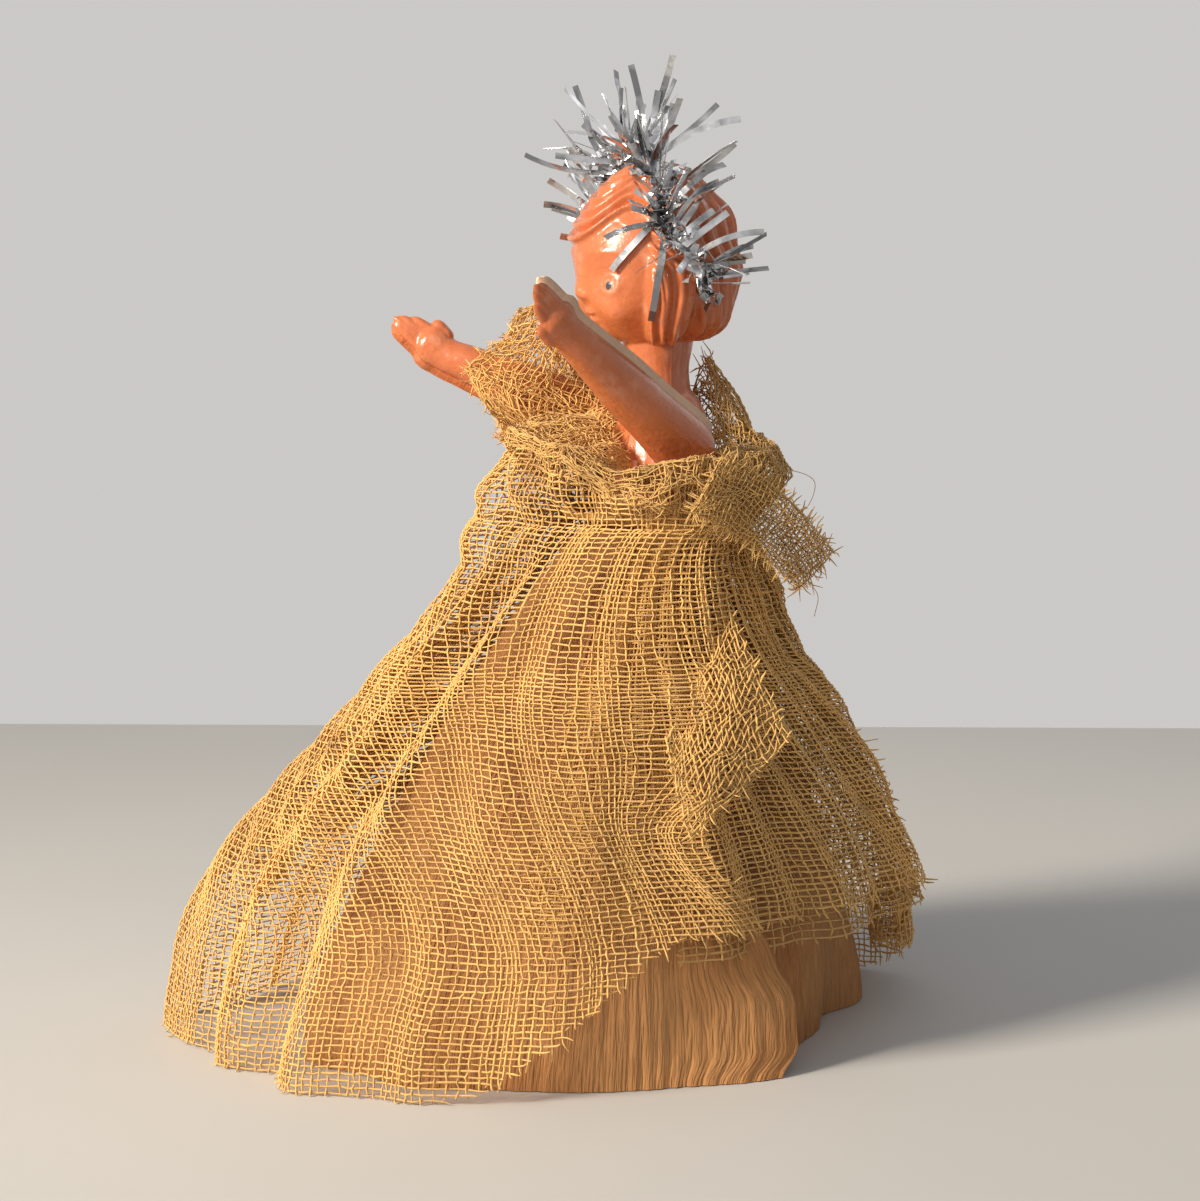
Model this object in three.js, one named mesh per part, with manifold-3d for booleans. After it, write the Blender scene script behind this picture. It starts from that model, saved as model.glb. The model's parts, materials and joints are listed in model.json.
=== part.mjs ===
// A fairy tree topper: a hollow moulded doll in a gathered gauze gown over a
// crepe-paper underskirt, with a tinsel crown. Millimetres, +Z up. The doll
// faces -Y, its left side is +X, and the origin lies under its joined soles.

import * as THREE from "three";
import { mergeVertices } from "three/addons/utils/BufferGeometryUtils.js";
import Module from "manifold-3d";

const wasm = await Module();
wasm.setup();

// Fits
const CLEARANCE = 0.35; // between pieces that lie on each other
const GLUE_LINE = 0.3; // between two glued moulded halves

// Doll body, stacked from the soles up
const LEG_LENGTH = 58; // soles to hips
const TORSO_LENGTH = 45; // hips to the shoulder axis
const NECK_LENGTH = 15.5; // shoulder axis to the chin
const HEAD_HALF_HEIGHT = 15.5;
const HEAD_HALF_WIDTH = 13.8;
const HEAD_HALF_DEPTH = 14.5;
const HIP_HALF_WIDTH = 13;
const WAIST_HALF_WIDTH = 10.2;
const CHEST_HALF_WIDTH = 11.4;
const SHOULDER_HALF_WIDTH = 9.2; // out to the flat that an arm turns against
const SHOULDER_SLOPE = 6.5; // shoulder axis up to the root of the neck
const NECK_HALF_WIDTH = 5.6;
const BODY_DEPTH_SHARE = 0.78; // depth of the torso and neck against their width
const LEG_OFFSET = 4.4; // from the middle to each leg's own axis
const THIGH_RADIUS = 6.2;
const CALF_RADIUS = 4.7;
const ANKLE_RADIUS = 3.4;
const FOOT_HALF_LENGTH = 9;
const FOOT_HALF_WIDTH = 4.8;
const FOOT_HEIGHT = 5;
const TOE_LEAD = 2; // how far the middle of a foot lies before its leg
const CROTCH_DROP = 2; // of the torso's round end between the thighs
const BODY_WALL = 1.4;
const PARTING_Y = 0.8; // where the front and back halves meet

// Bumps and hollows of the head, at their middles
const FOREHEAD_RISE = 0.7;
const CHEEK_RISE = 1.1;
const NOSE_RISE = 1.9;
const CHIN_RISE = 0.9;
const EYE_HOLLOW = 0.7;
const JAW_HOLLOW = 1.5;
const BACK_HAIR_RISE = 0.9;
const NAPE_HAIR_RISE = 1.5;
const SIDE_LOCK_RISE = 1.0;

// Arms
const ARM_LENGTH = 47; // shoulder axis to the fingertips
const ARM_SHOULDER_RADIUS = 5.4;
const ARM_ELBOW_RADIUS = 4.3;
const ARM_WRIST_RADIUS = 2.9;
const ARM_ELBOW_SHARE = 0.55; // place of the elbow between shoulder and wrist
const ARM_PALM_RADIUS = 3.9;
const HAND_LENGTH = 12;
const HAND_THICKNESS_SHARE = 0.62; // a hand's thickness against its breadth
const THUMB_RADIUS = 1.5;
const THUMB_LENGTH = 6;
const ARM_WALL = 1.1;
const ARM_SPLAY = 22; // degrees out from straight ahead
const LEFT_ARM_RISE = 38; // degrees above level
const RIGHT_ARM_RISE = 24;

// Elastic that strings the arms
const ELASTIC_RADIUS = 0.6;
const ELASTIC_KNOT_RADIUS = 1.6;

// Skirts
const TIE_DROP = 12; // shoulder axis down to the thread tied round the gown
const TIE_RADIUS = 0.7;
const CREPE_THICKNESS = 0.6;
const CREPE_HEAD = 2.4; // crepe standing above the tie
const CREPE_HEM_X = 37.5;
const CREPE_HEM_Y = 54;
const CREPE_SHIFT_X = -1; // middle of the hem from the doll's axis
const CREPE_SHIFT_Y = -10;
const CREPE_FLARE = 1.3; // above 1 a skirt spreads early
const CREPE_FOLDS = 11;
const CREPE_FOLD_DEPTH = 1.6;
const CREPE_EDGE_ANGLE = 12; // degrees from +X to the outer free edge
const CREPE_LAP = 24; // degrees that the ends overlap
const CREPE_KICK = 5; // how far the free edge stands out at the hem
const GAUZE_THICKNESS = 0.8;
const GAUZE_HEAD = 4;
const GAUZE_SPREAD_X = 6; // hem of the gauze beyond the hem of the crepe
const GAUZE_SPREAD_Y = 7.5;
const GAUZE_SHIFT_X = -4;
const GAUZE_SHIFT_Y = -13;
const GAUZE_FLARE = 1.75;
const GAUZE_EDGE_ANGLE = 18;
const GAUZE_LAP = 45;
const GAUZE_FRILL = 1.5; // how far the gathered head stands out
const GAUZE_BUNCH = 11; // gathers that swell before the chest, under the thread
const GAUZE_BUNCH_ANGLE = -112;
const GAUZE_BUNCH_SPREAD = 34;
const GAUZE_BUNCH_DEPTH = 0.08; // share of the skirt in which it swells
const GAUZE_FOLD_DEPTH = 0.83; // share of the skirt at which its folds are full
const GAUZE_LAYER_GAP = 1.4; // between the lapped ends
const GAUZE_GAPS_ROUND = 24; // openings that stand for its open weave
const GAUZE_GAPS_DOWN = 3;
const GAUZE_GAP_SHARE = 0.8; // height of an opening against its step down the cloth
const HEM_LIFT = 25; // where the hem is caught up on the left and behind
const HEM_REST = 0.6; // gap under the hem where it trails
const HEM_RISE = [-36, 4]; // degrees between which the hem is caught up
const HEM_FALL = [-252, -300]; // and between which it is caught up again

// Shawl and sleeve
const SHAWL_THICKNESS = 0.9;
const SHAWL_REACH = 9.5; // out from the chest to its rolled edge
const SHAWL_FRONT_HEIGHT = 9; // above the frill, between the arms
const SHAWL_BACK_HEIGHT = 21; // standing behind the neck
const SHAWL_SIDE_HEIGHT = 6; // of the roll outside each shoulder
const SHAWL_ROLL_BIAS = 0.25; // how far behind the arms the roll is highest
const SHAWL_FRONT_ROLL = 3; // how much higher its roll lies before the chest
const SHAWL_PUFF_ANGLE = -95; // where it puffs out before the chest
const SHAWL_PUFF_SPREAD = 24;
const SHAWL_PUFF_REACH = 8; // of its roll there, beyond its reach elsewhere
const SHAWL_PUFF_FLARE = 8; // of its lower edge beyond that roll
const SHAWL_PUFF_DROP = 7; // of its lower edge below the edge elsewhere
const SHAWL_BACK_ROLL = 4; // and behind it
const SHAWL_DROP = 4; // of the rolled edge below the frill
const SHAWL_BULGE = 0.9; // of the roll beyond that edge
const TAIL_LENGTH = 19;
const TAIL_WIDTH = 12;
const TAIL_SLOPE = 62; // degrees below level
const TAIL_ANGLE = 50; // degrees from +X to where it leaves the shawl
const TAIL_SIDE_SHARE = 0.15; // how far it swings to the left for its length
const TAIL_WAVE = 1.2;
const SLEEVE_START = 13; // along the arm from its shoulder axis
const SLEEVE_LENGTH = 14;
const SLEEVE_SLACK = 2.4; // all round the arm
const SLEEVE_PUFF = 4; // bunched above the arm
const SLEEVE_FOLDS = 5;
const SLEEVE_FOLD_DEPTH = 0.6;

// Crown
const CROWN_WIRE_RADIUS = 0.35;
const CROWN_BINDING_WALL = 0.5;
const CROWN_HALF_SPAN = 104; // degrees from the top of the head to each end
const CROWN_LEAD = 0.23; // how far it leans to the face, as a share of the head
const CROWN_END_LEAN = 0.17; // how far its ends lean back instead
const CROWN_END_ANGLE = 66; // degrees from the top where it starts to lean back
const CROWN_GAP = 4; // degrees between two tufts
const TINSEL_GROUPS = 4;
const TINSEL_PER_GROUP = 16;
const TINSEL_WIDTH = 1;
const TINSEL_THICKNESS = 0.25;
const TINSEL_SHORTEST = 10;
const TINSEL_LONGEST = 19;
const TINSEL_SIDE_LONGEST = 13;
const TINSEL_FAN = 72; // degrees to either side of straight out
const TINSEL_SIDE_FAN = -24; // towards the face at the crown's ends
const TINSEL_SIDE_SHARE = 0.12; // of the outward reach, where the arms swing past
const TINSEL_SIDE_ANGLES = [40, 60]; // degrees from the top where that begins
const TINSEL_LEAN = 0.35; // how far a tuft's strips close in along the wire
const TINSEL_BEND = 0.3; // most that a strip bows, as a share of its length

// Places that follow
const HIP_Z = LEG_LENGTH;
const SHOULDER_Z = HIP_Z + TORSO_LENGTH;
const CHIN_Z = SHOULDER_Z + NECK_LENGTH;
const HEAD_Z = CHIN_Z + HEAD_HALF_HEIGHT;
const TIE_Z = SHOULDER_Z - TIE_DROP;
const ARM_FLAT_X = SHOULDER_HALF_WIDTH + CLEARANCE;
const ARM_AXIS_X = ARM_FLAT_X + ARM_SHOULDER_RADIUS * 0.62;
const ELASTIC_HOLE_RADIUS = ELASTIC_RADIUS + CLEARANCE;
const FAR = 400; // larger than the whole figure

const PLASTIC = { color: 0xd98453, roughness: 0.32 };
const ELASTIC = { color: 0xcfc4ae, roughness: 0.8 };
const CREPE = { color: 0xc38a4e, roughness: 0.9 };
const GAUZE = { color: 0xdcaa4e, roughness: 0.85 };
const THREAD = { color: 0xb98a3c, roughness: 0.8 };
const WIRE = { color: 0x9a9a9a, roughness: 0.4, metalness: 1 };
const FOIL = { color: 0xc9cacc, roughness: 0.25, metalness: 1 };

const topper = new THREE.Group();
const radians = THREE.MathUtils.degToRad;
const mix = THREE.MathUtils.lerp;
const smooth = THREE.MathUtils.smoothstep;

// Solids

function solid(geometry) {
  const bare = geometry.clone();
  bare.deleteAttribute("normal");
  bare.deleteAttribute("uv");
  const merged = mergeVertices(bare, 1e-4);
  return new wasm.Manifold(
    new wasm.Mesh({
      numProp: 3,
      vertProperties: new Float32Array(merged.attributes.position.array),
      triVerts: new Uint32Array(merged.index.array),
    }),
  );
}

function geometryOf(manifold) {
  const mesh = manifold.getMesh();
  const geometry = new THREE.BufferGeometry();
  geometry.setAttribute("position", new THREE.BufferAttribute(mesh.vertProperties, 3));
  geometry.setIndex(new THREE.BufferAttribute(mesh.triVerts, 1));
  geometry.computeVertexNormals();
  return geometry;
}

function addPiece(name, geometry, finish, parent = topper) {
  const mesh = new THREE.Mesh(geometry, new THREE.MeshStandardMaterial(finish));
  mesh.name = name;
  parent.add(mesh);
}

function united(solids) {
  return solids.reduce((whole, next) => whole.add(next));
}

// A lathe about +Z through pairs of radius and height, from the bottom up
function turned(pairs, segments, divisions) {
  const knots = pairs.map(([radius, height]) => new THREE.Vector2(radius, height));
  const profile = new THREE.SplineCurve(knots).getPoints(divisions);
  profile.forEach((point) => (point.x = Math.max(point.x, 0)));
  profile[0].x = 0;
  profile[divisions].x = 0;
  return new THREE.LatheGeometry(profile, segments).rotateX(Math.PI / 2);
}

function ball(radius, segments, rings) {
  return new THREE.SphereGeometry(radius, segments, rings).rotateX(Math.PI / 2);
}

function rodAlongX(radius, length) {
  return new THREE.CylinderGeometry(radius, radius, length, 14).rotateZ(Math.PI / 2);
}

// Everything beyond a plane across one axis, on the side that sign names
function beyond(axis, place, sign) {
  const offset = new THREE.Vector3().setComponent(axis, place + (sign * FAR) / 2);
  return new THREE.BoxGeometry(FAR, FAR, FAR).translate(offset.x, offset.y, offset.z);
}

// A thin sheet as one closed solid: point(u, v) gives its middle surface, and
// a round sheet joins its last column to its first
function sheet(point, columns, rowPlaces, thickness, round = false, open = () => false) {
  const rows = rowPlaces.length;
  const count = round ? columns : columns + 1;
  const step = 1e-3;
  const positions = [];
  const indices = [];
  const at = (column, row, side) => ((column % count) * rows + row) * 2 + side;
  for (let column = 0; column < count; column++) {
    for (let row = 0; row < rows; row++) {
      const u = column / columns;
      const v = rowPlaces[row];
      const middle = point(u, v);
      const along = point(u + step, v).sub(point(u - step, v));
      const down = point(u, Math.min(v + step, 1)).sub(point(u, Math.max(v - step, 0)));
      const half = down.cross(along).normalize().multiplyScalar(thickness / 2);
      positions.push(...middle.clone().add(half), ...middle.clone().sub(half));
    }
  }
  const quad = (a, b, c, d) => indices.push(a, c, b, a, d, c);
  const last = rows - 1;
  for (let column = 0; column < columns; column++) {
    const next = column + 1;
    for (let row = 0; row < last; row++) {
      const under = row + 1;
      if (open(column, row)) {
        quad(at(column, row, 0), at(next, row, 0), at(next, row, 1), at(column, row, 1));
        quad(at(column, under, 0), at(column, under, 1), at(next, under, 1), at(next, under, 0));
        quad(at(column, row, 0), at(column, row, 1), at(column, under, 1), at(column, under, 0));
        quad(at(next, row, 0), at(next, under, 0), at(next, under, 1), at(next, row, 1));
        continue;
      }
      quad(at(column, row, 0), at(next, row, 0), at(next, under, 0), at(column, under, 0));
      quad(at(column, row, 1), at(column, under, 1), at(next, under, 1), at(next, row, 1));
    }
    quad(at(column, 0, 0), at(column, 0, 1), at(next, 0, 1), at(next, 0, 0));
    quad(at(column, last, 0), at(next, last, 0), at(next, last, 1), at(column, last, 1));
  }
  for (let row = 0; row < last && !round; row++) {
    quad(at(0, row, 0), at(0, row + 1, 0), at(0, row + 1, 1), at(0, row, 1));
    quad(at(columns, row, 0), at(columns, row, 1), at(columns, row + 1, 1), at(columns, row + 1, 0));
  }
  const geometry = new THREE.BufferGeometry();
  geometry.setAttribute("position", new THREE.Float32BufferAttribute(positions, 3));
  geometry.setIndex(indices);
  geometry.computeVertexNormals();
  return geometry;
}

function evenly(rows) {
  return Array.from({ length: rows + 1 }, (_, row) => row / rows);
}

// Head: an ellipsoid with soft bumps and hollows, each a direction from the
// middle of the head, a height and a spread in radians

const headFeatures = [
  { at: [0, -0.8, 0.6], height: FOREHEAD_RISE, spread: 0.55 }, // forehead
  { at: [0.48, -0.8, -0.36], height: CHEEK_RISE, spread: 0.36, paired: true }, // cheek
  { at: [0, -0.99, -0.14], height: NOSE_RISE, spread: 0.16 }, // nose
  { at: [0, -0.84, -0.54], height: CHIN_RISE, spread: 0.26 }, // chin
  { at: [0.36, -0.93, 0.04], height: -EYE_HOLLOW, spread: 0.22, paired: true }, // eye hollow
  { at: [0, -0.2, -0.98], height: -JAW_HOLLOW, spread: 0.45 }, // under the jaw
  { at: [0, 0.85, 0.2], height: BACK_HAIR_RISE, spread: 0.8 }, // hair behind
  { at: [0.62, 0.5, -0.55], height: NAPE_HAIR_RISE, spread: 0.4, paired: true }, // hair at the nape
  { at: [0.93, -0.1, -0.4], height: SIDE_LOCK_RISE, spread: 0.3, paired: true }, // lock before the ear
].flatMap((feature) => {
  const at = new THREE.Vector3(...feature.at).normalize();
  const twin = new THREE.Vector3(-at.x, at.y, at.z);
  return feature.paired ? [{ ...feature, at }, { ...feature, at: twin }] : [{ ...feature, at }];
});

function headRadius(direction) {
  const { x, y, z } = direction;
  const plain = 1 / Math.hypot(x / HEAD_HALF_WIDTH, y / HEAD_HALF_DEPTH, z / HEAD_HALF_HEIGHT);
  return headFeatures.reduce((radius, feature) => {
    const turn = direction.angleTo(feature.at) / feature.spread;
    return radius + feature.height * Math.exp(-turn * turn);
  }, plain);
}

function headPoint(direction, proud) {
  const place = direction.clone().multiplyScalar(headRadius(direction) + proud);
  return place.setZ(place.z + HEAD_Z);
}

function headGeometry(segments, rings, proud) {
  const geometry = ball(1, segments, rings);
  const place = geometry.attributes.position;
  for (let i = 0; i < place.count; i++) {
    const direction = new THREE.Vector3().fromBufferAttribute(place, i).normalize();
    place.setXYZ(i, ...headPoint(direction, proud));
  }
  return geometry;
}

// Body: head, torso and legs in one hollow moulding, parted front and back

function torso(inset, segments, divisions) {
  const crotch = HIP_Z - THIGH_RADIUS;
  const pairs = [
    [0, crotch - CROTCH_DROP + inset],
    [HIP_HALF_WIDTH * 0.75 - inset, crotch + inset],
    [HIP_HALF_WIDTH - inset, HIP_Z + THIGH_RADIUS / 2],
    [WAIST_HALF_WIDTH - inset, (HIP_Z + TIE_Z) / 2],
    [CHEST_HALF_WIDTH - inset, TIE_Z],
    [SHOULDER_HALF_WIDTH + BODY_WALL / 2 - inset, SHOULDER_Z],
    [NECK_HALF_WIDTH - inset, SHOULDER_Z + SHOULDER_SLOPE],
    [NECK_HALF_WIDTH - inset, CHIN_Z],
    [NECK_HALF_WIDTH - inset, CHIN_Z + HEAD_HALF_HEIGHT / 3],
    [0, CHIN_Z + HEAD_HALF_HEIGHT / 2],
  ];
  return turned(pairs, segments, divisions).scale(1, BODY_DEPTH_SHARE, 1);
}

function leg(side, inset, segments, divisions) {
  const pairs = [
    [0, FOOT_HEIGHT / 2 + inset],
    [ANKLE_RADIUS - inset, FOOT_HEIGHT / 2 + inset + ANKLE_RADIUS / 8],
    [ANKLE_RADIUS - inset, FOOT_HEIGHT + ANKLE_RADIUS],
    [CALF_RADIUS - inset, LEG_LENGTH * 0.33],
    [mix(ANKLE_RADIUS, THIGH_RADIUS, 0.4) - inset, LEG_LENGTH * 0.5],
    [THIGH_RADIUS - inset, LEG_LENGTH * 0.85],
    [THIGH_RADIUS - inset, HIP_Z],
    [0, HIP_Z + THIGH_RADIUS / 2],
  ];
  return turned(pairs, segments, divisions).translate(side * LEG_OFFSET, 0, 0);
}

function foot(side) {
  const soleHeight = FOOT_HEIGHT * 0.55;
  const outline = new THREE.Shape();
  outline.absellipse(0, 0, FOOT_HALF_WIDTH, FOOT_HALF_LENGTH, 0, 2 * Math.PI);
  const options = { depth: soleHeight, bevelEnabled: false, curveSegments: 7 };
  const sole = new THREE.ExtrudeGeometry(outline, options);
  const instep = ball(1, 10, 6)
    .scale(FOOT_HALF_WIDTH * 0.9, FOOT_HALF_LENGTH * 0.9, FOOT_HEIGHT - soleHeight)
    .translate(0, 0, soleHeight);
  const place = [side * LEG_OFFSET, -TOE_LEAD, 0];
  return solid(sole.translate(...place)).add(solid(instep.translate(...place)));
}

// The round seat on each shoulder that an arm turns against
function shoulderCuts(side) {
  const seatRadius = ARM_SHOULDER_RADIUS + 3 * CLEARANCE;
  const seat = rodAlongX(seatRadius, FAR).translate(side * (SHOULDER_HALF_WIDTH + FAR / 2), 0, SHOULDER_Z);
  const hole = rodAlongX(ELASTIC_HOLE_RADIUS, FAR).translate((side * FAR) / 2, 0, SHOULDER_Z);
  return solid(seat).add(solid(hole));
}

function addBody() {
  const sides = [1, -1];
  const outside = united([
    solid(headGeometry(30, 22, 0)),
    solid(torso(0, 20, 16)),
    ...sides.map((side) => solid(leg(side, 0, 12, 9))),
    ...sides.map(foot),
  ]);
  const inside = united([
    solid(headGeometry(14, 10, -BODY_WALL)),
    solid(torso(BODY_WALL, 14, 12)),
    ...sides.map((side) => solid(leg(side, BODY_WALL, 8, 7))),
  ]);
  const shell = outside.subtract(inside).subtract(united(sides.map(shoulderCuts)));
  const front = shell.subtract(solid(beyond(1, PARTING_Y - GLUE_LINE / 2, 1)));
  const back = shell.subtract(solid(beyond(1, PARTING_Y + GLUE_LINE / 2, -1)));
  addPiece("body_front_half", geometryOf(front), PLASTIC);
  addPiece("body_back_half", geometryOf(back), PLASTIC);
}

// Arms: each in its own frame, with the shoulder axis along X through its
// origin, pointing along -Y and then splayed out

function armLimb(inset, segments, divisions, length) {
  const wrist = ARM_LENGTH - HAND_LENGTH;
  const pairs = [
    [0, -ARM_SHOULDER_RADIUS + inset],
    [ARM_SHOULDER_RADIUS * 0.8 - inset, -ARM_SHOULDER_RADIUS * 0.6],
    [ARM_SHOULDER_RADIUS - inset, 0],
    [ARM_ELBOW_RADIUS - inset, wrist * ARM_ELBOW_SHARE],
    [ARM_WRIST_RADIUS - inset, wrist],
    [ARM_PALM_RADIUS - inset, wrist + HAND_LENGTH * 0.45],
    [ARM_PALM_RADIUS * 0.7 - inset, wrist + HAND_LENGTH * 0.85],
    [0, ARM_LENGTH],
  ].filter(([, along]) => along <= length);
  const closed = length < ARM_LENGTH ? [...pairs, [0, length]] : pairs;
  const limb = turned(closed, segments, divisions);
  const place = limb.attributes.position;
  for (let i = 0; i < place.count; i++) {
    const flat = smooth(place.getZ(i), wrist - HAND_LENGTH * 0.3, wrist + HAND_LENGTH * 0.3);
    place.setX(i, place.getX(i) * mix(1, HAND_THICKNESS_SHARE, flat));
  }
  return limb.rotateX(Math.PI / 2);
}

function thumb(up) {
  const along = ARM_LENGTH - HAND_LENGTH * 0.62;
  return ball(1, 8, 6)
    .scale(THUMB_RADIUS, THUMB_LENGTH / 2, THUMB_RADIUS)
    .rotateX(radians(-24 * up))
    .translate(0, -along, up * ARM_PALM_RADIUS);
}

function addArm(name, side, rise, thumbUp) {
  const splay = radians(side * ARM_SPLAY);
  const inward = ARM_AXIS_X - ARM_FLAT_X;
  const splayed = (geometry) => solid(geometry.rotateZ(splay));
  const flat = solid(beyond(0, -side * inward, -side));
  const innerFlat = solid(beyond(0, -side * (inward - ARM_WALL), -side));
  const hollowEnd = ARM_LENGTH - HAND_LENGTH;
  const outside = united([splayed(armLimb(0, 12, 16, ARM_LENGTH)), splayed(thumb(thumbUp))]);
  const inside = splayed(armLimb(ARM_WALL, 8, 8, hollowEnd)).subtract(innerFlat);
  const hole = solid(rodAlongX(ELASTIC_HOLE_RADIUS, FAR).translate((-side * FAR) / 2, 0, 0));
  const shell = outside.subtract(flat).subtract(inside).subtract(hole);
  const arm = new THREE.Group();
  arm.position.set(side * ARM_AXIS_X, 0, SHOULDER_Z);
  arm.rotation.x = -radians(rise);
  const outerCut = splayed(beyond(0, (side * GLUE_LINE) / 2, -side));
  const innerCut = splayed(beyond(0, (-side * GLUE_LINE) / 2, side));
  addPiece(name + "_outer_half", geometryOf(shell.subtract(outerCut)), PLASTIC, arm);
  addPiece(name + "_inner_half", geometryOf(shell.subtract(innerCut)), PLASTIC, arm);
  topper.add(arm);
  return arm;
}

function addElastic() {
  const knotX = ARM_FLAT_X + ARM_WALL + CLEARANCE + ELASTIC_KNOT_RADIUS;
  const knot = (side) => solid(ball(ELASTIC_KNOT_RADIUS, 10, 8).translate(side * knotX, 0, 0));
  const cord = solid(rodAlongX(ELASTIC_RADIUS, 2 * knotX));
  const whole = united([cord, knot(1), knot(-1)]);
  addPiece("shoulder_elastic", geometryOf(whole).translate(0, 0, SHOULDER_Z), ELASTIC);
}

// Skirts: rings that grow from the tied chest to the hem. The layers lie on
// the chest in order: crepe, its lap, gauze, its lap, and the thread

const BAND_HALF_HEIGHT = TIE_RADIUS + CLEARANCE;
const CREPE_INNER = CLEARANCE + CREPE_THICKNESS / 2;
const CREPE_STEP = CREPE_THICKNESS + CLEARANCE;
const GAUZE_INNER = CREPE_INNER + CREPE_STEP + CREPE_THICKNESS / 2 + CLEARANCE + GAUZE_THICKNESS / 2;
const GAUZE_STEP = GAUZE_THICKNESS + GAUZE_LAYER_GAP;
const TIE_OFFSET = GAUZE_INNER + GAUZE_STEP + GAUZE_THICKNESS / 2 + CLEARANCE + TIE_RADIUS;
const CHEST_HALF_DEPTH = CHEST_HALF_WIDTH * BODY_DEPTH_SHARE;

function ringPoint(angle, z, skirt, extra) {
  const drop = THREE.MathUtils.clamp((TIE_Z - BAND_HALF_HEIGHT - z) / (TIE_Z - BAND_HALF_HEIGHT), 0, 1);
  const spread = 1 - Math.pow(1 - drop, skirt.flare);
  const reachX = mix(CHEST_HALF_WIDTH + skirt.inner, skirt.hemX, spread) + extra;
  const reachY = mix(CHEST_HALF_DEPTH + skirt.inner, skirt.hemY, spread) + extra;
  const shift = Math.sqrt(drop);
  const x = skirt.shiftX * shift + reachX * Math.cos(angle);
  const y = skirt.shiftY * shift + reachY * Math.sin(angle);
  return new THREE.Vector3(x, y, z);
}

// Row places along a skirt: its head, the tied band, then down to the hem
function skirtRows(head, rows) {
  const top = head / (TIE_Z + head);
  const band = BAND_HALF_HEIGHT / (TIE_Z + head);
  return [0, top - band, ...evenly(rows).map((share) => mix(top + band, 1, share))];
}

function addCrepe() {
  const skirt = {
    inner: CREPE_INNER,
    hemX: CREPE_HEM_X,
    hemY: CREPE_HEM_Y,
    shiftX: CREPE_SHIFT_X,
    shiftY: CREPE_SHIFT_Y,
    flare: CREPE_FLARE,
  };
  const turn = radians(360 + CREPE_LAP);
  const point = (u, v) => {
    const angle = radians(CREPE_EDGE_ANGLE) - turn * u;
    const z = mix(TIE_Z + CREPE_HEAD, -CREPE_THICKNESS, v);
    const lap = CREPE_STEP * (1 - smooth(u, 0, 0.5));
    const fold = CREPE_FOLD_DEPTH * (0.5 + 0.5 * Math.cos(CREPE_FOLDS * angle));
    const kick = CREPE_KICK * v * v * (1 - smooth(u, 0, 0.09));
    return ringPoint(angle, z, skirt, lap + kick - fold * v * v);
  };
  const paper = solid(sheet(point, 60, skirtRows(CREPE_HEAD, 6), CREPE_THICKNESS));
  addPiece("crepe_underskirt", geometryOf(paper.subtract(solid(beyond(2, 0, -1)))), CREPE);
}

// Folds of the gauze: the angle of each ridge, its height and its spread,
// seen first on the left side and then round the back to the right
const gauzeFolds = [
  [-114, 12, 22],
  [-72, 2, 10],
  [-46, 1.4, 9],
  [-20, 2.6, 9],
  [6, 3.4, 9],
  [36, 4.5, 9],
  [64, 7.5, 10],
  [94, 5.5, 10],
  [124, 6, 10],
  [154, 4.5, 10],
  [182, 6, 10],
  [210, 5, 10],
];

function ridgeShare(angle, ridge, spread) {
  const turn = angle - radians(ridge);
  const away = Math.atan2(Math.sin(turn), Math.cos(turn)) / radians(spread);
  return Math.exp(-away * away);
}

function gauzeFold(angle) {
  return gauzeFolds.reduce((sum, [ridge, height, spread]) => {
    return sum + height * ridgeShare(angle, ridge, spread);
  }, 0);
}

// The hem trails at the front and on the right, and is caught up elsewhere
function hemHeight(degrees) {
  const left = smooth(degrees, HEM_RISE[0], HEM_RISE[1]);
  const behind = smooth(-degrees, -HEM_FALL[0], -HEM_FALL[1]);
  return HEM_REST + HEM_LIFT * Math.max(left, behind);
}

function addGauzeSkirt() {
  const skirt = {
    inner: GAUZE_INNER,
    hemX: CREPE_HEM_X + GAUZE_SPREAD_X,
    hemY: CREPE_HEM_Y + GAUZE_SPREAD_Y,
    shiftX: GAUZE_SHIFT_X,
    shiftY: GAUZE_SHIFT_Y,
    flare: GAUZE_FLARE,
  };
  const turn = 360 + GAUZE_LAP;
  const point = (u, v) => {
    const degrees = GAUZE_EDGE_ANGLE - turn * u;
    const angle = radians(degrees);
    const z = mix(TIE_Z + GAUZE_HEAD, hemHeight(degrees), v);
    const lap = GAUZE_STEP * (1 - smooth(u, 0, 0.5));
    const frill = GAUZE_FRILL * smooth(z, TIE_Z + BAND_HALF_HEIGHT, TIE_Z + GAUZE_HEAD);
    const depth = THREE.MathUtils.clamp(1 - z / (TIE_Z - BAND_HALF_HEIGHT), 0, 1);
    const swell = GAUZE_BUNCH * smooth(depth, 0, GAUZE_BUNCH_DEPTH) * (1 - depth) * (1 - depth);
    const bunch = swell * ridgeShare(angle, GAUZE_BUNCH_ANGLE, GAUZE_BUNCH_SPREAD);
    const fold = Math.min(1, depth / GAUZE_FOLD_DEPTH) * gauzeFold(angle);
    return ringPoint(angle, z, skirt, lap + frill + bunch + fold);
  };
  const head = skirtRows(GAUZE_HEAD, 1).slice(0, 3);
  const fullest = mix(head[2], 1, GAUZE_BUNCH_DEPTH);
  const bar = (1 - GAUZE_GAP_SHARE) / GAUZE_GAPS_DOWN;
  const gaps = evenly(GAUZE_GAPS_DOWN).flatMap((share) => [share, share + bar]);
  const rows = [...head, ...gaps.slice(0, -1).map((share) => mix(fullest, 1, share * (1 - bar))), 1];
  const columns = 2 * GAUZE_GAPS_ROUND + 1;
  const open = (column, row) => column % 2 === 1 && row >= 4 && row % 2 === 0 && row < rows.length - 2;
  addPiece("gauze_skirt", sheet(point, columns, rows, GAUZE_THICKNESS, false, open), GAUZE);
}

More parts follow.
